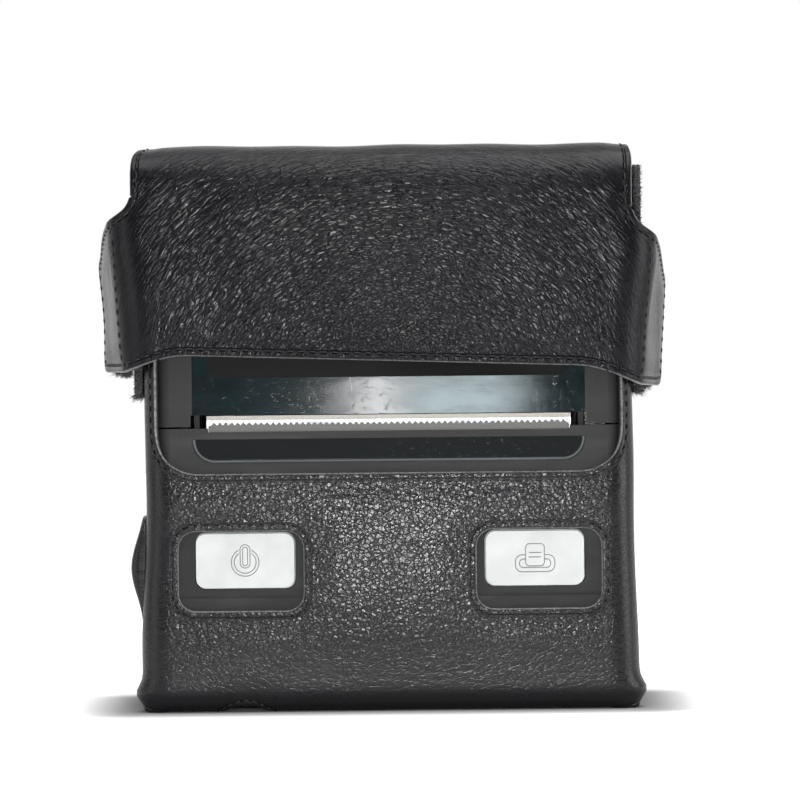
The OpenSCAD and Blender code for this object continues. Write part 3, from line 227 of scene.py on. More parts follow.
class Hide:
    """One cut of leather: how it lies in space, its cut edges in the flat, how much it swells away from them, where its
    grain shows, and the finish and body of what is made from it."""

    NEAR = 1.9                       # the swelling starts this far from an edge
    ROWS = (0.15, 0.35, 0.7, 1.6)    # distances of the rows of points beside an edge

    def __init__(self, lie, edges, swell, grain, finish, body="case", wide=4.0, thick=LEATHER, round_off=0.5,
                 lay=lambda u, v: (u, v), shift=0.0):
        self.lie, self.edges, self.swell, self.grain = lie, edges, swell, grain
        self.finish, self.body, self.wide, self.thick = finish, body, wide, thick
        self.round_off, self.lay, self.shift = round_off, lay, shift

    def rise(self, gap):
        """Height of the leather over its plain surface at a distance from its cut edge."""
        return self.swell * smooth((gap - self.NEAR) / self.wide)

    def drop(self, gap):
        """Fall of the rounded edge: its radius r less the root of r squared less the square of r - gap."""
        r = self.round_off
        return r - np.sqrt(np.maximum(r ** 2 - np.maximum(r - gap, 0) ** 2, 0))

    def skin(self, flat, depth):
        """Points in space for points in the flat, at a depth under the swollen surface."""
        gap = away(flat, self.edges)
        return self.lie(*flat.T, depth + self.drop(gap) - self.rise(gap))

    def piece(self, name, outline, holes=(), spacing=1.5):
        """The hide inside an outline: flat triangles through the outline, rows beside it and a grid, laid on both faces
        and joined by the cut edge."""
        loops = [even(o, spacing * 0.75) for o in [outline, *holes]]
        loops = [l if (area(l) > 0) == (k == 0) else l[::-1] for k, l in enumerate(loops)]
        rows = [(inward(l, d), d) for l in loops for d in self.ROWS]
        rows = [r[away(r, loops) > 0.93 * d] for r, d in rows]
        lo, hi = loops[0].min(0), loops[0].max(0)
        gx, gy = np.meshgrid(np.arange(lo[0], hi[0], spacing), np.arange(lo[1], hi[1], spacing * 0.866))
        gx = gx + (np.arange(len(gx)) % 2)[:, None] * spacing / 2
        grid = np.column_stack([gx.ravel(), gy.ravel()])
        grid = grid[away(grid, loops) > self.ROWS[-1] + spacing * 0.5]
        points = np.vstack([*loops, *rows, grid])
        points = points[inside(points, loops[0]) | (np.arange(len(points)) < sum(map(len, loops)))]
        starts = np.cumsum([0] + [len(l) for l in loops])
        ring = np.vstack([np.column_stack([np.arange(a, b), np.roll(np.arange(a, b), -1)])
                          for a, b in zip(starts[:-1], starts[1:])])
        found = geometry.delaunay_2d_cdt([Vector(p) for p in points.tolist()], ring.tolist(), [], 0, 1e-5)
        flat = np.array([v[:] for v in found[0]])
        tris = np.array(found[2])
        centre = flat[tris].mean(1)
        keep = inside(centre, loops[0])
        for hole in loops[1:]:
            keep &= ~inside(centre, hole)
        tris = tris[keep]
        a, b, c = flat[tris].transpose(1, 0, 2)
        turned = np.cross(b - a, c - a) < 0
        tris[turned] = tris[turned][:, ::-1]
        count = len(flat)
        sides = np.vstack([tris[:, [0, 1]], tris[:, [1, 2]], tris[:, [2, 0]]])
        rim = sides[~np.isin(sides @ [count, 1], sides @ [1, count])]
        gap = away(flat, self.edges)
        outer = self.lie(*flat.T, self.drop(gap) - self.rise(gap))
        inner = self.lie(*flat.T, self.thick - self.drop(gap))
        a, b, c = outer[tris].transpose(1, 0, 2)
        through = inner[tris[:, 0]] - a
        wall = np.column_stack([rim, rim[:, ::-1] + count])
        if np.median((np.cross(b - a, c - a) * through).sum(1)) < 0:
            faces = [tris, tris[:, ::-1] + count, wall[:, ::-1]]
        else:
            faces = [tris[:, ::-1], tris + count, wall]
        nothing = np.zeros(count)
        place = np.column_stack([*self.lay(*flat.T), np.full(count, self.shift)])
        attributes = {"edge_mm": np.append(gap, gap), "grain": np.append(self.grain(*flat.T), nothing),
                      "lining": np.append(nothing, nothing + 1), "lay_mm": np.vstack([place, place])}
        points = np.vstack([outer, inner])
        return new_piece(name, points, faces, self.finish, self.body, attributes)

    def stitches(self, name, paths, pitch=2.5, length=2.0, keep=None):
        """A row of stitches on each path. At s from -1 to 1 along it a stitch is as thick as the root of 1 - |s| cubed
        and dips into the leather by s squared."""
        at, along = [], []
        for path, closed in paths:
            line = even(path, pitch, closed)
            step = np.roll(line, -1, 0) - line if closed else np.diff(line, axis=0)
            start = line if closed else line[:-1]
            at.append(start + step / 2)
            along.append(unit(step))
        at, along = np.vstack(at), np.vstack(along)
        if keep is not None:
            chosen = keep(*at.T)
            at, along = at[chosen], along[chosen]
        s = np.linspace(-1, 1, 7)[None, :, None]
        a = np.linspace(0, 2 * math.pi, 6, endpoint=False)[None, None, :]
        thick = 0.2 * np.sqrt(np.maximum(1 - np.abs(s) ** 3, 0.02))
        across = thick * np.cos(a)
        height = 0.06 - 0.34 * s ** 2 + thick * np.sin(a)
        reach = np.broadcast_to(s * length / 2, across.shape)
        at, along, side = (values[:, None, None, :] for values in (at, along, left_of(along)))
        flat = at + reach[..., None] * along + across[..., None] * side
        shape = flat.shape[:3]
        depth = -np.broadcast_to(height, shape).ravel()
        flat = flat.reshape(-1, 2)
        points = self.skin(flat, depth)
        tube, caps = strands(*shape)
        probe = points[tube[0]]
        out = np.cross(probe[1] - probe[0], probe[2] - probe[0])
        middle = points[:shape[1] * shape[2]].mean(0)
        if np.dot(out, probe.mean(0) - middle) < 0:
            tube, caps = tube[:, ::-1], caps[:, ::-1]
        place = np.column_stack([flat, 0 * flat[:, 0]])
        return new_piece(name, points, [tube, caps], THREAD, self.body, {"lay_mm": place})


# Shader expressions


class Wire:
    """A socket of a material; arithmetic on it adds Math nodes."""

    def __init__(self, finish, socket):
        self.finish, self.socket = finish, socket

    def _math(self, operation, a, b=None, clamp=False):
        inputs = {k: v for k, v in enumerate((a, b)) if v is not None}
        return self.finish.node("ShaderNodeMath", {"operation": operation, "use_clamp": clamp}, inputs)

    def __add__(self, other): return self._math("ADD", self, other)
    def __radd__(self, other): return self._math("ADD", other, self)
    def __sub__(self, other): return self._math("SUBTRACT", self, other)
    def __rsub__(self, other): return self._math("SUBTRACT", other, self)
    def __mul__(self, other): return self._math("MULTIPLY", self, other)
    def __rmul__(self, other): return self._math("MULTIPLY", other, self)
    def __truediv__(self, other): return self._math("DIVIDE", self, other)
    def __gt__(self, other): return self._math("GREATER_THAN", self, other)
    def __lt__(self, other): return self._math("LESS_THAN", self, other)
    def clip(self): return self._math("ADD", self, 0.0, clamp=True)
    def abs(self): return self._math("ABSOLUTE", self)
    def sine(self): return self._math("SINE", self)
    def root(self): return self._math("SQRT", self)
    def least(self, other): return self._math("MINIMUM", self, other)
    def most(self, other): return self._math("MAXIMUM", self, other)

    def ramp(self, low, high):
        """0 at low to 1 at high, level at both ends."""
        return self.finish.node("ShaderNodeMapRange", {"interpolation_type": "SMOOTHSTEP"},
                                {"Value": self, "From Min": low, "From Max": high})


class Net:
    """The nodes of a material or of the world."""

    def __init__(self, owner):
        owner.use_nodes = True
        self.tree = owner.node_tree
        self.tree.nodes.clear()

    def node(self, kind, settings=None, inputs=None, out=0):
        n = self.tree.nodes.new(kind)
        for key, value in (settings or {}).items():
            setattr(n, key, value)
        for key, value in (inputs or {}).items():
            if isinstance(value, Wire):
                self.tree.links.new(value.socket, n.inputs[key])
            else:
                n.inputs[key].default_value = value
        return None if out is None else Wire(self, n.outputs[out])

    def parts(self, place):
        n = self.tree.nodes.new("ShaderNodeSeparateXYZ")
        self.tree.links.new(place.socket, n.inputs[0])
        return [Wire(self, o) for o in n.outputs]

    def rays(self, kind):
        """1 for rays of a kind, such as Camera, and 0 for others."""
        return self.node("ShaderNodeLightPath", out=f"Is {kind} Ray")

    def mirrored(self):
        """1 for rays that a surface reflects or lets through."""
        return self.rays("Glossy") + self.rays("Transmission")

    def show(self, shader, output="ShaderNodeOutputMaterial"):
        self.node(output, None, {"Surface": shader}, out=None)


class Finish(Net):
    """A procedural material: its patterns and its one surface shader."""

    def __init__(self, name):
        self.material = bpy.data.materials.new(name)
        super().__init__(self.material)

    def object_mm(self):
        """Object coordinates in millimetres."""
        return self.vector("SCALE", {0: self.node("ShaderNodeTexCoord", out="Object"), 3: 1 / MM})

    def layer(self, name, out="Fac"):
        """A value that the mesh carries."""
        return self.node("ShaderNodeAttribute", {"attribute_name": name}, out=out)

    def stretch(self, place, scale):
        """Places multiplied, axis by axis."""
        return self.node("ShaderNodeMapping", None, {"Vector": place, "Scale": scale})

    def noise(self, place, scale, detail=2.0, rough=0.5, out=0):
        inputs = {"Vector": place, "Scale": scale, "Detail": detail, "Roughness": rough}
        return self.node("ShaderNodeTexNoise", None, inputs, out)

    def cells(self, place, scale, feature="F1", random=1.0):
        inputs = {"Vector": place, "Scale": scale, "Randomness": random}
        return self.node("ShaderNodeTexVoronoi", {"feature": feature}, inputs)

    def vector(self, operation, inputs):
        return self.node("ShaderNodeVectorMath", {"operation": operation}, inputs)

    def warp(self, place, scale, amount):
        """Places moved by a coloured noise."""
        moved = self.vector("SUBTRACT", {0: self.noise(place, scale, 1.0, out=1), 1: (0.5, 0.5, 0.5)})
        return self.vector("ADD", {0: place, 1: self.vector("SCALE", {0: moved, 3: amount})})

    def blend(self, factor, a, b):
        """Colour a where the factor is 0 and b where it is 1."""
        four = lambda c: (*c, 1.0) if isinstance(c, tuple) and len(c) == 3 else c
        settings = {"data_type": "RGBA", "clamp_factor": True}
        return self.node("ShaderNodeMix", settings, {0: factor, 6: four(a), 7: four(b)}, out=2)

    def bump(self, height, depth_mm):
        return self.node("ShaderNodeBump", None, {"Strength": 1.0, "Distance": depth_mm * MM, "Height": height})

    def surface(self, colour, rough, normal, metal=0.0, specular=0.5, sheen=0.0, coat=0.0):
        inputs = {"Base Color": colour, "Roughness": rough, "Metallic": metal, "Specular IOR Level": specular,
                  "Normal": normal, "Sheen Weight": sheen, "Coat Weight": coat, "Coat Roughness": 0.1}
        self.show(self.node("ShaderNodeBsdfPrincipled", None, inputs))
        return self.material


# Finishes of the leather


def times(tint, factor):
    """A colour made lighter or darker."""
    return tuple(c * factor for c in tint)


def black_leather(name, tint, long, size, uneven, gloss, deep, shine=0.36):
    """Pebbled hide: flat-topped pebbles about a millimetre across, each tilted its own way, parted by valleys. Where
    the grain fades only long shallow creases are left. A groove carries the stitches; the cut edge is worn to grey. The
    valleys and the groove are painted dark as shade, and pebble tops are painted lighter as glints."""
    m = Finish(name)
    place = m.layer("lay_mm", "Vector")
    grain, gap, lining = m.layer("grain"), m.layer("edge_mm"), m.layer("lining")
    lean = m.stretch(m.warp(place, 0.55, 0.9), (1.0 / long, 1.0, 1.0))
    wall = m.cells(lean, 1.0 / size, "DISTANCE_TO_EDGE")
    pebble = wall.ramp(0.0, 0.13)
    dome = 1.0 - m.cells(lean, 1.0 / size)
    tilt = m.noise(lean, 0.95 / size, 1.0)
    wrinkle = m.noise(m.stretch(place, (1.0 / long, 1.4, 1.0)), 2.6, 3.0, 0.65)
    crease = m.noise(m.stretch(place, (0.09, 0.55, 1.0)), 1.0, 2.5, 0.6)
    height = (pebble * 0.35 + dome * 0.12 + tilt * uneven + wrinkle * 0.06) * (0.05 + 0.95 * grain)
    height = height + crease * (0.30 + 0.35 * (1.0 - grain)) + wrinkle * 0.03
    groove = 1.0 - (gap - SEAM_IN).abs().ramp(0.0, 0.5)
    height = height * (1.0 - 0.6 * groove) - groove * 1.1
    edge = (1.0 - gap.ramp(0.04, 0.36)) * (1.0 - lining)
    worn = m.noise(place, 1.6, 3.0).ramp(0.3, 0.6)
    patchy = m.noise(place, 0.05, 2.0).ramp(0.35, 0.7)
    # painted shade: the valleys between pebbles are coloured darker, and made a little rougher
    shaded_valleys = (1.0 - pebble) * grain
    # painted glints: the tops of pebbles that tilt one way are coloured lighter
    painted_glints = (pebble * grain * (tilt * 0.5 + wrinkle)).ramp(0.62, 0.95)
    colour = m.blend(shaded_valleys * 0.8, tint, times(tint, 0.2))
    colour = m.blend(painted_glints * 0.5, colour, times(tint, 3.0))
    colour = m.blend(patchy * 0.4, colour, (tint[0] * 0.8, tint[1] * 0.76, tint[2] * 1.15))
    # painted shade: the stitch groove is coloured near black
    colour = m.blend(groove * 0.8, colour, (0.0015, 0.0015, 0.002))
    colour = m.blend(edge * (0.45 + 0.55 * worn), colour, (0.25, 0.25, 0.255))
    colour = m.blend(lining, colour, (0.016, 0.015, 0.016))
    rough = gloss + 0.05 * shaded_valleys + 0.04 * patchy + 0.02 * (1.0 - grain) + 0.4 * lining
    return m.surface(colour, rough.clip(), m.bump(height, deep), specular=shine)


def thread():
    """Black twisted thread."""
    m = Finish("thread")
    u, v, _ = m.parts(m.layer("lay_mm", "Vector"))
    twist = ((u + v) * 14.0).sine() * 0.5 + 0.5
    return m.surface(m.blend(twist, (0.004, 0.004, 0.005), (0.020, 0.019, 0.022)), 0.55, m.bump(twist, 0.08))


def tape(name, tint):
    """Woven tape under a dense pile of hooks or loops, coloured lighter at the tufts' tips and darker between them as
    painted shade.
    """
    m = Finish(name)
    place = m.object_mm()
    pile = m.cells(m.warp(place, 1.0, 0.6), 2.2)
    tangle = m.noise(place, 3.5, 4.0, 0.7)
    tips = (tint[0] * 2.6, tint[1] * 2.6, tint[2] * 2.7)
    # painted shade: the tufts are coloured lighter at their tips and darker between them
    colour = m.blend((pile + tangle * 0.4).ramp(0.2, 0.9), tips, times(tint, 0.5))
    return m.surface(colour, 0.9, m.bump(tangle - pile, 0.5), sheen=0.4)


# Finishes of the printer


def moulded(name, tint, grit=0.35, rough=0.5, wear=0.25):
    """Moulded plastic with a fine spark-eroded texture and faint handling marks."""
    m = Finish(name)
    place = m.object_mm()
    grains = m.noise(place, 1 / grit, 3.0, 0.65)
    marks = m.noise(m.stretch(place, (0.05, 0.05, 0.22)), 1.0, 3.0, 0.6).ramp(0.45, 0.75)
    light = tuple(c * 1.25 + 0.004 for c in tint)
    colour = m.blend(grains.ramp(0.35, 0.7) * 0.4 + marks * wear, tint, light)
    return m.surface(colour, (rough + 0.14 * grains - 0.10 * marks).clip(), m.bump(grains, 0.03), specular=0.25)


def metal(name, tint, rough=0.3, brushed=(1.0, 18.0, 18.0)):
    """Metal with fine drawn lines and slight staining."""
    m = Finish(name)
    place = m.object_mm()
    lines = m.noise(m.stretch(place, brushed), 0.6, 3.0, 0.6)
    stain = m.noise(place, 0.15, 3.0, 0.6).ramp(0.4, 0.8)
    colour = m.blend(stain * 0.5, tint, times(tint, 0.72))
    return m.surface(colour, (rough + 0.18 * lines + 0.12 * stain).clip(), m.bump(lines, 0.01), metal=1.0)


def bar(px, pz, half_w, half_h, r):
    """Distance from the outline of a rounded bar: negative inside it."""
    dx, dz = (px.abs() - (half_w - r)), (pz.abs() - (half_h - r))
    out = (dx.most(0.0) * dx.most(0.0) + dz.most(0.0) * dz.most(0.0)).root()
    return out + dx.most(dz).least(0.0) - r


def film_panel():
    """Glossy dark panel under a clear film: a painted bluish highlight, hazy and rougher, over its middle, a scratch,
    dust and slight ripples, and a band under the flap's edge painted dark as the flap's shadow. The lower panel has a
    rounded edge with a painted highlight along it."""
    m = Finish("film_panel")
    place = m.object_mm()
    x, _, z = m.parts(place)
    low = 1.0 - z.ramp(62.0, 63.0)
    low_edge = bar(x, z - 63.6, 44.0, 7.6, 5.0)
    # painted shadow: the upper panel is coloured darker, and made matte, in a band under the flap's edge
    flap_shadow = (1.0 - bar(x, z - 90.75, 40.4, 15.75, 3.0).ramp(-0.05, 0.05)) * (1.0 - low)
    ripple = m.noise(m.stretch(place, (0.045, 0.1, 0.10)), 1.0, 2.0)
    rucks = m.noise(m.warp(m.stretch(place, (0.55, 0.1, 0.35)), 0.6, 1.0), 1.0, 2.0) * x.ramp(26.0, 41.0)
    cloud = m.noise(m.stretch(place, (0.045, 0.1, 0.16)), 1.0, 4.0, 0.6)
    middle = 1.0 - ((x - 16.2) / 27.0).abs().ramp(0.15, 1.0)
    # painted highlight: a pale bluish cloud coloured over the middle of the upper panel, where the near lamp reflects;
    # it also makes the film rougher there
    haze_and_painted_highlight = middle * middle * (0.45 + 0.55 * cloud.ramp(0.30, 0.66)) * (1.0 - low)
    flecks = m.noise(m.stretch(place, (0.5, 0.1, 0.9)), 1.6, 4.0, 0.75).ramp(0.55, 0.85)
    scratch = (1.0 - (x + 8.5 + (z * 1.7).sine() * 0.05).abs().ramp(0.03, 0.11)) * z.ramp(67.5, 68.2)
    scratch = scratch * m.noise(place, 3.0).ramp(0.3, 0.5)
    dust = (1.0 - m.cells(place, 0.6).ramp(0.02, 0.06)) * m.noise(place, 0.3).ramp(0.5, 0.6)
    round_edge = low_edge.abs().ramp(0.0, 0.7) * low + (1.0 - low)
    colour = m.blend(cloud.ramp(0.35, 0.7), (0.008, 0.014, 0.015), (0.014, 0.024, 0.027))
    colour = m.blend(low, colour, (0.016, 0.018, 0.0185))
    # painted highlight colour over the film's middle, flecks included
    colour = m.blend((haze_and_painted_highlight * 0.8 + flecks * middle * 0.25).clip(), colour, (0.41, 0.50, 0.53))
    colour = m.blend((scratch * 0.8 + dust * 0.5).clip(), colour, (0.42, 0.46, 0.48))
    # painted highlight: a bright line coloured along the lower panel's rounded edge
    rim = (1.0 - (low_edge + 0.3).abs().ramp(0.08, 0.34)) * low
    colour = m.blend(rim * (0.3 + 0.5 * cloud), colour, (0.30, 0.33, 0.34))
    colour = m.blend(flap_shadow, colour, (0.010, 0.010, 0.0105))
    rough = (0.10 + 0.24 * haze_and_painted_highlight + 0.3 * scratch + 0.45 * flap_shadow).clip()
    height = ripple * 0.22 + rucks * 0.12 + flecks * 0.02 + round_edge - low * z * 0.22
    return m.surface(colour, rough, m.bump(height, 0.5), specular=0.085)


def button_face():
    """Satin silver lacquer with an engraved outline mark: a broken ring with an upright bar on the left, a sheet
    leaving a slot on the right."""
    m = Finish("button_silver")
    place = m.object_mm()
    x, y, z = m.parts(place)

    def outline(distance):
        return 1.0 - distance.abs().ramp(0.0585, 0.13)

    px, pz = x + BUTTON_X, z - BUTTON_Z
    radius = (px * px + (pz + 0.35) * (pz + 0.35)).root()
    away_bar = bar(px, pz - 1.0, 1.1, 3.0, 1.1) > 0.35
    ring = (outline(radius - 3.1) + outline(radius - 2.45)) * away_bar
    ends = outline(bar(px, pz - 1.0, 1.1, 2.6, 1.1)) + outline(bar(px, pz - 1.0, 0.55, 2.05, 0.55))
    power = (ring + ends) * (px.abs() < 8.0)
    qx, qz = x - BUTTON_X, z - BUTTON_Z
    slot = bar(qx, qz + 1.2, 4.4, 1.9, 1.5)
    sheet = bar(qx, qz - 0.7, 2.1, 2.5, 0.9)
    inner_slot = bar(qx, qz + 1.2, 3.5, 0.95, 0.9)
    feed = (outline(slot) * (sheet > 0.0) + outline(sheet) + outline(inner_slot) * (sheet > 0.0)
            + (outline(qz - 0.2) + outline(qz - 1.2)) * (qx.abs() < 1.4)) * (qx.abs() < 8.0)
    mark = (power + feed).clip() * (0.0 - y).ramp(23.4, 23.7)
    sheen = m.noise(place, 0.12, 2.0)
    colour = m.blend(sheen.ramp(0.3, 0.7), (0.50, 0.515, 0.512), (0.58, 0.595, 0.592))
    colour = m.blend(mark * 0.85, colour, (0.20, 0.205, 0.215))
    return m.surface(colour, (0.50 + 0.08 * sheen).clip(), m.bump(m.noise(place, 8.0) - mark * 6.0, 0.02),
                     metal=(0.40 - 0.3 * mark).clip())


def board_green():
    """Circuit board: lacquer over faint traces, with tinned pads."""
    m = Finish("board_green")
    place = m.object_mm()
    lane = m.cells(m.stretch(place, (0.16, 1.0, 0.5)), 1.0, "DISTANCE_TO_EDGE", random=0.6)
    trace = 1.0 - lane.ramp(0.02, 0.05)
    pad = 1.0 - m.cells(place, 0.34).ramp(0.16, 0.20)
    colour = m.blend(trace * 0.6, (0.010, 0.085, 0.035), (0.03, 0.17, 0.07))
    colour = m.blend(pad * 0.9, colour, (0.62, 0.60, 0.52))
    return m.surface(colour, (0.32 + 0.1 * m.noise(place, 0.5)).clip(), m.bump(trace + pad, 0.04), metal=pad * 0.8)


def wound_paper():
    """Thermal paper: smooth faces, with the turns showing as fine rings on the roll's ends."""
    m = Finish("paper")
    place = m.object_mm()
    x, y, z = m.parts(place)
    z = z - ROLL_Z
    radius = (y * y + z * z).root()
    rings = (radius * 22.0 + m.noise(place, 0.4) * 3.0).sine() * 0.5 + 0.5
    end = (x.abs() - 38.5).ramp(0.0, 0.8)
    colour = m.blend(rings * end * 0.5, (0.86, 0.855, 0.83), (0.66, 0.65, 0.62))
    colour = m.blend(m.noise(place, 0.2, 4.0).ramp(0.4, 0.8) * 0.2, colour, (0.80, 0.80, 0.80))
    return m.surface(colour, 0.62, m.bump(rings * end, 0.05))


def battery_wrap():
    """Heat-shrunk sleeve with soft wrinkles along its edges."""
    m = Finish("battery_wrap")
    place = m.object_mm()
    wrinkle = m.noise(m.stretch(place, (0.1, 0.6, 0.6)), 1.2, 3.0)
    colour = m.blend(wrinkle, (0.02, 0.07, 0.17), (0.05, 0.13, 0.27))
    return m.surface(colour, 0.28, m.bump(wrinkle, 0.15), coat=0.3)


def speckled(name, tint, size=0.5, rough=0.6, amount=0.35, deep=0.03):
    """A plain part with the fine mottling of its stuff."""
    m = Finish(name)
    place = m.object_mm()
    spots = m.noise(place, 1 / size, 4.0, 0.65)
    colour = m.blend(spots.ramp(0.3, 0.75) * amount, tint, times(tint, 0.6))
    return m.surface(colour, (rough + 0.12 * spots).clip(), m.bump(spots, deep))


CASE_LEATHER = black_leather("case_leather", (0.0080, 0.0078, 0.0088), long=1.1, size=1.0, uneven=1.15, gloss=0.23,
                             deep=0.13)
FLAP_LEATHER = black_leather("flap_leather", (0.0052, 0.0049, 0.0066), long=1.9, size=0.68, uneven=1.7, gloss=0.22,
                             deep=0.21, shine=0.20)
THREAD = thread()
LOOP_TAPE = tape("loop_tape", (0.030, 0.030, 0.032))
HOOK_TAPE = tape("hook_tape", (0.018, 0.018, 0.020))

NODE_FINISHES = [
    (moulded("shell_plastic", (0.024, 0.024, 0.0245)),
     ["front_shell", "rear_shell", "lid_shell", "battery_door", "roll_cradle", "mech_frame"]),
    (film_panel(), ["upper_panel", "lower_panel"]),
    (speckled("bar_steel", (0.13, 0.132, 0.122), 0.5, 0.45, 0.2), ["tear_bar"]),
    (metal("steel", (0.62, 0.62, 0.61), 0.26), ["hinge_pin", "platen_shaft", "motor_shaft", "gear_stud"]),
    (button_face(), ["power_button", "feed_button"]),
    (battery_wrap(), ["battery_pack"]),
    (metal("contact_brass", (0.78, 0.60, 0.30), 0.28), ["battery_contacts"]),
    (speckled("ceramic", (0.78, 0.75, 0.69), 0.3, 0.42), ["print_head"]),
    (metal("sink_aluminium", (0.70, 0.71, 0.73), 0.38, (18.0, 1.0, 1.0)), ["heat_sink"]),
    (metal("spring_steel", (0.52, 0.52, 0.53), 0.3), ["head_springs"]),
    (metal("motor_can", (0.48, 0.49, 0.50), 0.36), ["stepper_motor"]),
    (metal("screw_steel", (0.40, 0.40, 0.41), 0.3, (6.0, 6.0, 6.0)),
     ["shell_screws", "board_screws", "mech_screws"]),
    (speckled("platen_rubber", (0.028, 0.028, 0.028), 0.25, 0.72), ["platen_rubber"]),
    (speckled("bush_plastic", (0.22, 0.20, 0.16), 0.4, 0.5), ["platen_bushes"]),
    (speckled("gear_plastic", (0.80, 0.78, 0.71), 0.6, 0.42, 0.2), ["platen_gear", "compound_gear"]),
    (metal("pinion_brass", (0.72, 0.53, 0.25), 0.26), ["motor_pinion"]),
    (wound_paper(), ["paper_roll"]),
    (speckled("card", (0.46, 0.34, 0.20), 0.35, 0.8, 0.5, 0.06), ["paper_core"]),
    (board_green(), ["main_board"]),
    (speckled("chip_black", (0.025, 0.025, 0.027), 0.2, 0.5), ["main_chip", "driver_chip", "paper_sensor"]),
    (metal("radio_can", (0.70, 0.71, 0.70), 0.3), ["radio_module"]),
    (speckled("flex_amber", (0.46, 0.24, 0.06), 1.5, 0.25, 0.5), ["head_ribbon"]),
    (speckled("socket_plastic", (0.022, 0.022, 0.024), 0.3, 0.5),
     ["charge_socket", "power_switch", "feed_switch"]),
    (metal("socket_shell", (0.62, 0.62, 0.62), 0.24), ["data_socket"]),
    (speckled("connector_cream", (0.78, 0.74, 0.64), 0.5, 0.5, 0.2), ["ribbon_connector"]),
]
for finish, nodes in NODE_FINISHES:
    for node in nodes:
        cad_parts[node].data.materials.clear()
        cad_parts[node].data.materials.append(finish)


# Case wrap


def on_wrap(u, v, depth):
    """Front and sides of the case. Across, an arc of WRAP_R joins the flat front to each side; at the foot of the front
    an arc of HEM_R turns under; each side leans out towards the foot and stands out as an ear at the lower corner, and
    the front bulges by a cosine."""
    a, side = np.abs(u), np.sign(u)
    flat = CASE_X - WRAP_R
    bend = np.clip((a - flat) / WRAP_R, 0, QUARTER)
    run = np.maximum(a - flat - WRAP_R * QUARTER, 0)
    front = smooth(1 - bend / QUARTER)
    under = np.clip((HEM_R - v) / HEM_R, 0, QUARTER)
    nx, ny = np.sin(bend), -np.cos(bend)
    out = (1.0 * smooth((48 - v) / 36) - 0.85) * nx * smooth((v + 1) / 9)
    out = out + 1.8 * np.exp(-((v - 4.2) / 2.3) ** 2 - (run / 5) ** 2) * nx ** 3
    out = out + 0.18 * np.sin(v * 0.11 + 0.8 + side) * np.sin(bend) * smooth((34 - run) / 30)
    out = out + 1.1 * np.cos(np.clip(u / 52, -1, 1) * QUARTER) * smooth(v / 26) * smooth((66 - v) / 40) - depth
    inset = HEM_R * (1 - np.cos(under)) * front
    foot = np.where(v < HEM_R, mix(v, HEM_R * (1 - np.sin(under)), front), v)
    sink = np.sin(under * front)
    x = np.minimum(a, flat) + WRAP_R * np.sin(bend) - inset * nx + out * nx * np.cos(under * front)
    y = -CASE_Y + WRAP_R * (1 - np.cos(bend)) + run - inset * ny + out * ny * np.cos(under * front)
    return np.column_stack([side * x, y, np.maximum(foot, 0) - out * sink])


def wrap_foot(u):
    """Lowest flat coordinate of the wrap: the front has the length of its turned foot more than the sides."""
    a = np.abs(u)
    front = smooth(1 - np.clip((a - CASE_X + WRAP_R) / WRAP_R, 0, QUARTER) / QUARTER)
    return (HEM_R - HEM_R * QUARTER) * front


SIDE_RUN = CASE_X - WRAP_R + WRAP_R * QUARTER
REAR_U = SIDE_RUN + (CASE_Y - LEATHER) - (WRAP_R - CASE_Y)
WINDOW_X, WINDOW_Z, WINDOW_R = 52.8, edge_of("lower_panel", 0, 2) - 2.5, 10.0
KEY_X, KEY_SHAPE = 33.4, (31.7, 28.0, 17.8, 3.75)    # middle across; middle up, width, height and corner
PORT_Y, PORT_SHAPE = -7.0, (31.1, 14.0, 18.7, 3.0)
CHARGE_U, CHARGE_W = -32.6, 10.6
KEYS = [s * KEY_X for s, _ in SIDES]


def wrap_outline():
    """Flat outline of the wrap: foot, rear edge, top of each side, and the window down from the top between them."""
    u = np.linspace(-REAR_U, REAR_U, 181)
    foot = np.column_stack([u, wrap_foot(u)])
    right = np.array([[REAR_U, SIDE_TOP], [SIDE_RUN + 1.0, SIDE_TOP]])
    slope = np.column_stack([np.linspace(SIDE_RUN + 0.5, WINDOW_X, 9),
                             mix(SIDE_TOP - 0.3, SIDE_TOP - 9, smooth(np.linspace(0, 1, 9)))])
    corner = turn(WINDOW_X - WINDOW_R, WINDOW_Z + WINDOW_R, WINDOW_R, 0, -90, 13)
    half = np.vstack([right, slope, corner])
    return np.vstack([foot, half, other_half(half)])


def notched(loop):
    """The wrap's foot cut back over the charging opening, by raising its points there."""
    loop = loop.copy()
    near = np.clip(1 - ((loop[:, 0] - CHARGE_U) / (CHARGE_W / 2)) ** 2, 0, 1)
    low = loop[:, 1] < 3
    loop[low, 1] += near[low] ** 0.75 * 3.7
    return loop


def wrap_grain(u, v):
    """Grain shows on the flat of the front, fades round its corners and towards its foot."""
    return 0.35 + 0.65 * smooth((51.5 - np.abs(u)) / 6) * smooth((v - 9) / 12)


port_u = -(SIDE_RUN + PORT_Y - (WRAP_R - CASE_Y))
wrap_loop = notched(even(wrap_outline(), EDGE_STEP))
wrap_holes = [window(x, *KEY_SHAPE) for x in KEYS] + [window(port_u, *PORT_SHAPE)]
wrap_edges = [wrap_loop] + [even(hole, EDGE_STEP) for hole in wrap_holes]
wrap_hide = Hide(on_wrap, wrap_edges, 0.22, wrap_grain, CASE_LEATHER, wide=6.0)
wrap = wrap_hide.piece("leather_wrap", wrap_loop, wrap_holes)
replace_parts(wrap, "case_wrap")

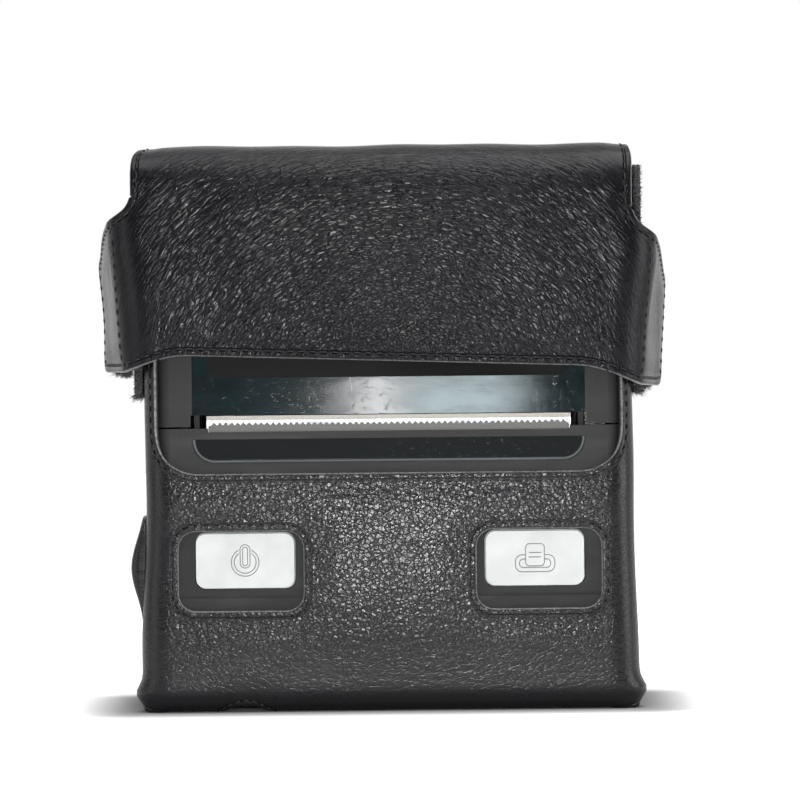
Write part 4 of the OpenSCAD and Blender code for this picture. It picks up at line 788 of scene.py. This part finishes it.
window_line = np.vstack([[[WINDOW_X + WINDOW_SEAM, SIDE_TOP - 12]],
                         turn(WINDOW_X - WINDOW_R, WINDOW_Z + WINDOW_R, WINDOW_R + WINDOW_SEAM, 0, -90, 13)])
wrap_hide.stitches("thread_window", [(np.vstack([window_line, other_half(window_line)]), False)])
wrap_hide.stitches("thread_keys", [(window(x, *KEY_SHAPE, out=WINDOW_SEAM), True) for x in KEYS])
arc = CHARGE_U + np.linspace(-7, 7, 33)
arc_v = wrap_foot(arc) + 0.6 + 5.0 * (1 - ((arc - CHARGE_U) / 7) ** 2)
wrap_hide.stitches("thread_charge", [(np.column_stack([arc, arc_v]), False)], pitch=2.0, length=1.6)
rear = REAR_U - WINDOW_SEAM
wrap_hide.stitches("thread_sides", [(np.array([[s * rear, 3.0], [s * rear, SIDE_TOP - 3]]), False) for s, _ in SIDES])


# Case base


def on_base(u, v, depth):
    """The base lies flat: its face is at the foot, its depth goes up."""
    return np.column_stack([u, v, np.maximum(depth, 0.0)])


base_x, base_front, base_back = edge_of("case_base", 1, 0), HEM_R - CASE_Y, CASE_Y - LEATHER
base_loop = even(round_box(-base_x, base_front, base_x, base_back, 1.5), EDGE_STEP)
notch = np.abs(base_loop[:, 0] - CHARGE_U) < CHARGE_W / 2
base_loop[notch & (base_loop[:, 1] < base_front + 1), 1] = -12.0
base_hide = Hide(on_base, [base_loop], 0.0, lambda u, v: 0.7 + 0 * u, CASE_LEATHER, shift=40.0)
base = base_hide.piece("leather_base", base_loop)
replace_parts(base, "case_base")


# Flap, back and wings, one hide


FLARE_TOP, FLARE_LOW = 11.0, 12.8
SLIP, SLANT = 1.2, 0.034


def on_flap(u, v, depth):
    """Back, top and front of the case. Along v the hide comes up the back, turns by BACK_R, runs over the top, turns by
    BEND_R and hangs down the front; along u it turns by WING_R round each upright and runs on, flaring. The hanging
    part has slipped and slants a little."""
    a, side = np.abs(u), np.sign(u)
    brow = np.clip(v / BEND_R, 0, QUARTER)
    down = np.maximum(v - BEND_R * QUARTER, 0)
    on_top = np.clip(-v, 0, TOP_L)
    rump = np.clip((-v - TOP_L) / BACK_R, 0, QUARTER)
    rear = np.maximum(-v - TOP_L - BACK_R * QUARTER, 0)
    y = BEND_Y + on_top - BEND_R * np.sin(brow) + BACK_R * np.sin(rump)
    z = FLAP_Z - BEND_R * (1 - np.cos(brow)) - down - BACK_R * (1 - np.cos(rump)) - rear
    ny, nz = np.sin(rump) - np.sin(brow), np.cos(brow) * np.cos(rump)
    flare = np.radians(mix(FLARE_TOP, FLARE_LOW, smooth((down - 10) / 35)))
    most = QUARTER - flare
    hold = smooth((v + 6) / 8)
    upright = mix(WING_X + 1.5, WING_X - 2.3, smooth(down / 40))
    over = np.maximum(a - upright, 0)
    bend = np.minimum(over / WING_R, most) * hold
    run = np.maximum(over - WING_R * most, 0) * hold
    wide = np.minimum(a, upright) + mix(over, WING_R * np.sin(bend) + run * np.cos(most), hold)
    deep = WING_R * (1 - np.cos(bend)) + run * np.sin(most)
    pillow = 1.1 * np.cos(np.clip(u / 56, -1, 1) * QUARTER) * smooth((v - 8) / 14) * smooth((54 - v) / 22)
    wave = 0.12 * np.sin(u * 0.13 + v * 0.21) + 0.10 * np.sin(u * 0.29 - v * 0.11 + 1.0)
    lift = pillow + wave * smooth((v + 30) / 20) - depth
    into = deep - lift * np.cos(bend)
    x = side * (wide + lift * np.sin(bend))
    x = x - SLIP * smooth((v + 8) / 22)
    z = z - SLANT * x * smooth(v / 20)
    return np.column_stack([x, y - into * ny, z - into * nz])


def v_of(z):
    """Flat coordinate of a height on the hanging front."""
    return BEND_R * QUARTER + FLAP_Z - BEND_R - z


END_U = WING_X + WING_R * (QUARTER - math.radians(10)) + WING_L
BASE_V = -(TOP_L + BACK_R * QUARTER + FLAP_Z - BACK_R)
SPLIT_V, CUT_V, CUT_U = -17.0, v_of(114.0), 50.0


def neck(v):
    """Half width of the neck: narrow over the top, wider towards the shoulders and the back."""
    return NECK + 1.7 * smooth((v + 3) / 12) + (CASE_X - NECK) * smooth((-v - TOP_L - 6) / 8)


def low_edge(u):
    """Flat coordinate of the lower edge: level in the middle, dipping towards the wings."""
    return v_of(FLAP_LOW - (FLAP_LOW - WING_LOW) * smooth((np.abs(u) - 44) / 18))


def flap_side():
    """Right edge of the whole hide from the foot of the back to the middle of the lower edge; the shoulder is a cubic
    curve, each of its four points weighed by t and 1 - t."""
    v = np.linspace(BASE_V, v_of(114.8), 180)
    side = np.column_stack([neck(v), v])
    t = np.linspace(0, 1, 24)[1:, None]
    a, b, c, d = (np.array([u, v_of(z)]) for u, z in
                  ((neck(v[-1]), 114.8), (57.0, 109.6), (60.5, 109.8), (71.0, 106.3)))
    shoulder = (1 - t) ** 3 * a + 3 * (1 - t) ** 2 * t * b + 3 * (1 - t) * t ** 2 * c + t ** 3 * d
    r = 4.0
    top = turn(END_U - r, v_of(WING_TOP) + r, r, -90, 0)
    bottom = turn(END_U - r, v_of(WING_LOW) - r, r, 0, 90)
    u = np.linspace(END_U - r, 0, 90)
    return np.vstack([side, shoulder, top, bottom, np.column_stack([u, low_edge(u)])])


flap_half = flap_side()
flap_loop = even(np.vstack([flap_half[:-1], other_half(flap_half)]), EDGE_STEP)


def flap_grain(u, v):
    """Grain shows on the hanging front, fades over the brow and round the uprights."""
    front = smooth((52.5 - np.abs(u)) / 6) * smooth((v - 5) / 8)
    back = smooth((-v - TOP_L - 10) / 10)
    return 0.2 + 0.8 * np.maximum(front, back * 0.9)


def flap_lay(u, v):
    """The grain runs in arches round a point under the hanging front: angle times a mean radius, and radius."""
    over = v_of(62.0) - v
    return np.arctan2(u - 4, over) * 26, np.hypot(u - 4, over)


flap_cut = (on_flap, [flap_loop], 0.35, flap_grain, FLAP_LEATHER, None)
flap_hide = Hide(*flap_cut, lay=flap_lay, shift=80.0)
back_hide = Hide(*flap_cut, shift=80.0)

u, v = flap_half.T
split, corner = [[neck(SPLIT_V), SPLIT_V]], [[CUT_U, low_edge(CUT_U)]]
back_half = np.vstack([flap_half[v < SPLIT_V], split])
shoulders = flap_half[(v > SPLIT_V) & (v < CUT_V) & (u > CUT_U)]
low_run = flap_half[(u < CUT_U) & (v > CUT_V)]
front_half = np.vstack([split, shoulders, [[neck(CUT_V), CUT_V], [CUT_U, CUT_V]], corner, low_run])
wing_run = flap_half[(u > CUT_U) & (v > CUT_V)]
wing_outline = np.vstack([[[CUT_U, CUT_V], [neck(CUT_V), CUT_V]], wing_run, corner])

back = back_hide.piece("leather_back", np.vstack([back_half, other_half(back_half)]))
front = flap_hide.piece("leather_front", np.vstack([front_half[:-1], other_half(front_half)]))
wings = {side: flap_hide.piece(f"leather_wing_{side}", wing_outline * [s, 1]) for s, side in SIDES}

WING_SEAMS = {"left": (61.6, 61.2, 4.2), "right": (61.2, 60.3, 5.6)}    # across at the top and foot; rise over the wing


line = even(flap_loop, EDGE_STEP)
border = even(inward(line, math.copysign(SEAM_IN, area(line))), EDGE_STEP)
back_seam = flap_hide.stitches("thread_back", [(border, True)], keep=lambda u, v: v < SPLIT_V)
front_seam = flap_hide.stitches("thread_front", [(border, True)],
                                keep=lambda u, v: (v >= SPLIT_V) & ((v < CUT_V) | (np.abs(u) < CUT_U)))
for piece in (back, back_seam):
    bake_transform(piece)
for piece in (front, front_seam):
    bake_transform(piece)
for s, side in SIDES:
    top_u, foot_u, rise = WING_SEAMS[side]
    row = np.array([[s * top_u, v_of(WING_TOP + rise)], [s * foot_u, v_of(WING_LOW + 2)]])
    rows = flap_hide.stitches(f"thread_wing_{side}", [(border, True), (row, False)],
                              keep=lambda u, v: (v >= CUT_V) & (s * u >= CUT_U))
    for piece in (wings[side], rows):
        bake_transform(piece)
    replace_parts(wings[side], f"wing_{side}")
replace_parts(back, "case_back", "flap_top")
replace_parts(front, "flap_front")


# Tapes


HOOK_U = 64.0
LOOP_OUT = edge_of("loop_patch_right", 1, 0)


def slab(name, lie, corners, thick, finish, body):
    """A rounded slab of tape, laid by a placing function; its pile stands uneven by the product of two sines."""
    loop = even(round_box(*corners, 1.0), EDGE_STEP)
    hide = Hide(lambda u, v, d: lie(u, v, d + 0.12 * np.sin(u * 3.1) * np.sin(v * 2.7)), [loop], 0.0,
                lambda u, v: 0 * u, finish, body, thick=thick, round_off=0.45)
    return hide.piece(name, loop, spacing=1.2)


for s, side in SIDES:
    lo, hi = (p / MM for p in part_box(f"loop_patch_{side}"))
    on_side = lambda u, v, d: np.column_stack([s * (LOOP_OUT - d), u, v])
    piece = slab(f"loop_tape_{side}", on_side, (lo.y, lo.z, hi.y, hi.z), 1.8, LOOP_TAPE, "case")
    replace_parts(piece, f"loop_patch_{side}")
    under = lambda u, v, d: on_flap(s * u, v, LEATHER + 1.0 - d)
    corners = HOOK_U, v_of(WING_TOP - 1.8), END_U - 1.8, v_of(WING_LOW + 0.4)
    piece = slab(f"hook_tape_{side}", under, corners, 1.0, HOOK_TAPE, f"wing_{side}")
    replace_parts(piece, f"hook_patch_{side}")


def fray(name, roots, ways, length, seed, finish, body):
    """Loose fibres: each leaves its root, bows to one side by the sine of the way t along it, and thins to a point."""
    roll = np.random.default_rng(seed)
    n, rings, ring = len(roots), 5, 3
    ways = unit(ways + roll.normal(0, 0.45, (n, 3)))
    side = unit(np.cross(ways, roll.normal(0, 1, (n, 3))))
    up = np.cross(ways, side)
    roots, ways, side, up = (values[:, None, None, :] for values in (roots, ways, side, up))
    t, a = np.linspace(0, 1, rings)[:, None, None], (np.arange(ring) * 2 * math.pi / ring)[:, None]
    reach = length * roll.uniform(0.3, 1.0, (n, 1, 1, 1)) ** 1.5
    bow = roll.uniform(-0.35, 0.35, (n, 1, 1, 1))
    middle = roots + (ways * (t - 0.12) + side * np.sin(t * 2.6) * bow) * reach
    points = middle + 0.085 * (1 - 0.85 * t) * (np.cos(a) * side + np.sin(a) * up)
    new_piece(name, points.reshape(-1, 3), strands(n, rings, ring), finish, body)


def frays():
    """Fibres along the front and ends of each loop tape, and along the lower end of each hook tape."""
    roll = np.random.default_rng(11)
    n, half, hooks = 900, 450, 700
    for s, side in SIDES:
        lo, hi = (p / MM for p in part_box(f"loop_patch_{side}"))
        out = s * LOOP_OUT
        z = roll.uniform(lo.z, hi.z, n)
        front = np.column_stack([out - s * roll.uniform(0, 1.7, n), np.full(n, lo.y + 0.1), z])
        low = np.column_stack([out - s * roll.uniform(0, 1.7, half), roll.uniform(lo.y, hi.y, half),
                               np.full(half, lo.z + 0.1)])
        face = np.column_stack([np.full(half, out - s * 0.1), roll.uniform(lo.y, lo.y + 3, half),
                                roll.uniform(lo.z, hi.z, half)])
        ways = np.repeat([[s * 0.35, -0.8, 0.1], [s * 0.6, -0.1, -0.9], [s, -0.3, 0.0]], [n, half, half], axis=0)
        fray(f"loop_fray_{side}", np.vstack([front, low, face]), ways, 1.0, 21, LOOP_TAPE, "case")
        fray(f"loop_end_{side}", low[::2], [s * 0.9, -0.2, -1.0], 2.6, 23, LOOP_TAPE, "case")
        u = np.append(roll.uniform(HOOK_U, 73.0, 450), roll.uniform(HOOK_U, END_U - 2, 250))
        roots = on_flap(s * u, np.full(hooks, v_of(WING_LOW + 0.5)), LEATHER + roll.uniform(0.1, 0.9, hooks))
        fray(f"hook_fray_{side}", roots, [0, -0.1, -1.0], 2.4, 22, HOOK_TAPE, f"wing_{side}")


frays()


# Rim of the side opening


def rim_ring():
    """The rim: a rounded profile carried round the opening; its height falls from the middle of each upright by the
    square of a cosine."""
    path = even(window(PORT_Y, *PORT_SHAPE), 0.7)
    across = np.array([0.0, 0.0, 0.25, 0.9, 1.8, 2.6, 3.2, 3.5, 3.5])
    height = np.array([-0.4, 1.6, 2.1, 2.45, 2.5, 2.3, 1.7, 0.9, -0.4])
    out = -left_of(unit(np.roll(path, -1, 0) - np.roll(path, 1, 0)))
    n = len(path)
    flat = path[:, None, :] + across[None, :, None] * out[:, None, :]
    tall = 0.2 + 0.8 * np.cos(np.clip((flat[..., 1] - 32.2) / 12, -1, 1) * QUARTER) ** 2
    x = -(CASE_X + 0.1 + np.where(height > 0, height * tall * 1.15, height))
    points = np.dstack([x, flat[..., 0], flat[..., 1]]).reshape(-1, 3)
    gap = np.broadcast_to(np.minimum(across, 3.5 - across + 0.3)[None], (n, len(across))).ravel()
    layers = {"edge_mm": gap, "grain": np.full(len(points), 0.5), "lining": np.zeros(len(points)),
              "lay_mm": np.column_stack([points[:, 1], points[:, 2], np.full(len(points), 120.0)])}
    faces = grid_faces(n, len(across), closed=True)
    return new_piece("leather_rim", points, [faces], CASE_LEATHER, "case", layers)


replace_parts(rim_ring(), "port_rim")


# Belt loop


def belt_strap():
    """The strap: a flat band carried up the back, out round the belt's room and in again, with its ends sewn down."""
    lo, hi = (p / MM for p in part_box("belt_loop"))
    y0, y1, z0, z1 = lo.y + 0.1 + LEATHER, hi.y, lo.z, hi.z
    foot, r, half = 9.0, 2.6, 16.0
    path = np.vstack([[[y0, z0], [y0, z0 + foot - 1.5]],
                      turn(y0 + r, z0 + foot - 1.5, r, 180, 90, 7),
                      turn(y1 - r, z0 + foot + 1.1 + r, r, -90, 0, 7),
                      turn(y1 - r, z1 - foot - 1.1 - r, r, 0, 90, 7),
                      turn(y0 + r, z1 - foot + 1.5, r, 270, 180, 7),
                      [[y0, z1 - foot + 1.5], [y0, z1]]])
    line = even(path, 0.8, closed=False)
    out = -left_of(unit(np.gradient(line, axis=0)))
    length = run_of(line)
    end = length[-1]

    def lie(u, v, depth):
        y, z, oy, oz = (np.interp(v, length, values) for values in (*line.T, *out.T))
        return np.column_stack([u, y - depth * oy, z - depth * oz])

    loop = even(round_box(-half, 0, half, end, 2.0), EDGE_STEP)
    hide = Hide(lie, [loop], 0.2, lambda u, v: 0.75 + 0 * u, CASE_LEATHER, shift=160.0)
    strap = hide.piece("belt_strap", loop)
    seams = [(round_box(1.7 - half, v0, half - 1.7, v0 + 5.4, 0.8), True) for v0 in (1.6, end - 7.0)]
    seams += [(np.array([[2.4 - half, a], [half - 2.4, b]]), False)
              for a, b in ((2.0, 6.6), (6.6, 2.0), (end - 6.6, end - 2.0), (end - 2.0, end - 6.6))]
    hide.stitches("thread_strap", seams)
    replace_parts(strap, "belt_loop")


belt_strap()


# Stage, light and camera


def white_floor():
    """Pale floor: it shows white to the camera and, less, in reflections, and still takes the object's shadow. Near the
    object its glow fades and its colour turns grey, a painted shadow round the base."""
    m = Finish("floor_white")
    x, y, _ = m.parts(m.object_mm())
    dx, dy = (x.abs() - 56.0).most(0.0), (y.abs() - 24.0).most(0.0)
    # painted shadow: close round the object the floor's colour turns grey and its glow dies away
    clear_of_painted_shadow = (dx * dx + dy * dy).root().ramp(0.0, 26.0)
    pale = m.node("ShaderNodeBsdfDiffuse", None, {"Color": m.blend(clear_of_painted_shadow, (0.35, 0.35, 0.35), (0.80, 0.80, 0.80))})
    shine = m.blend(clear_of_painted_shadow, (0.02, 0.02, 0.02), (1.0, 1.0, 1.0))
    glow = m.node("ShaderNodeEmission", None, {"Color": shine, "Strength": 1.0})
    nothing = m.node("ShaderNodeEmission", None, {"Strength": 0.0})
    seen = (m.rays("Camera") + m.mirrored() * 0.45).clip()
    glow = m.node("ShaderNodeMixShader", None, {0: seen, 1: nothing, 2: glow})
    m.show(m.node("ShaderNodeAddShader", None, {0: pale, 1: glow}))
    size, top = 3000.0, -0.05
    corners = [[-size, -size, top], [size, -size, top], [size, size, top], [-size, size, top]]
    floor = new_piece("floor", corners, [[[0, 1, 2, 3]]], m.material)


def lamp(name, place, aim, size, power):
    """A lamp with a flat face of a size, in metres and watts, hidden from the camera."""
    data = bpy.data.lights.new(name, "AREA")
    data.shape, data.size, data.size_y, data.energy = "RECTANGLE", *size, power
    piece = bpy.data.objects.new(name, data)
    bpy.context.scene.collection.objects.link(piece)
    piece.location = place
    piece.rotation_euler = (Vector(aim) - Vector(place)).to_track_quat("-Z", "Y").to_euler()
    piece.visible_camera = False


def studio():
    """A white backdrop seen by the camera and, behind the object, in reflections; a dim grey room in front of it; a
    near small lamp in the camera's line, and soft boxes above, in front and at the sides."""
    bpy.context.scene.world = bpy.data.worlds.new("studio")
    w = Net(bpy.context.scene.world)
    _, way, _ = w.parts(w.node("ShaderNodeTexCoord", out="Generated"))
    behind = w.node("ShaderNodeMapRange", None, {"Value": way, "From Min": -0.15, "From Max": 0.45})
    white = w.rays("Camera") + w.mirrored() * behind
    room, backdrop = (w.node("ShaderNodeBackground", None, {"Color": (1, 1, 1, 1), "Strength": power})
                      for power in (0.09, 1.0))
    w.show(w.node("ShaderNodeMixShader", None, {0: white, 1: room, 2: backdrop}), "ShaderNodeOutputWorld")
    lamp("top_box", (0.05, -0.15, 0.75), (0, 0, 0.1), (0.7, 0.5), 5.0)
    lamp("front_box", (0.0035, -0.40, 0.058), (0, 0, 0.06), (0.032, 0.040), 0.62)
    lamp("high_box", (0.05, -0.80, 0.62), (0, 0, 0.1), (0.5, 0.35), 1.0)
    lamp("left_box", (-0.65, -0.30, 0.25), (0, 0, 0.07), (0.35, 0.5), 0.9)
    lamp("right_box", (0.60, -0.20, 0.20), (0, 0, 0.07), (0.30, 0.5), 1.8)


def photo_camera():
    """Level camera at the photograph's height, turned by the photograph's slight tilt; distances in metres."""
    far, pixel, tilt = 0.9, 0.0002235, 0.6
    data = bpy.data.cameras.new("camera")
    data.sensor_width, data.lens = 36.0, 36.0 * far / (800 * pixel)
    camera = bpy.data.objects.new("camera", data)
    bpy.context.scene.collection.objects.link(camera)
    camera.location = (0.0026, -FLAP_Y * MM - far, 0.0697)
    camera.rotation_euler = (QUARTER, math.radians(tilt), 0)
    bpy.context.scene.camera = camera


white_floor()
studio()
photo_camera()
bpy.context.scene.view_settings.view_transform = "Standard"
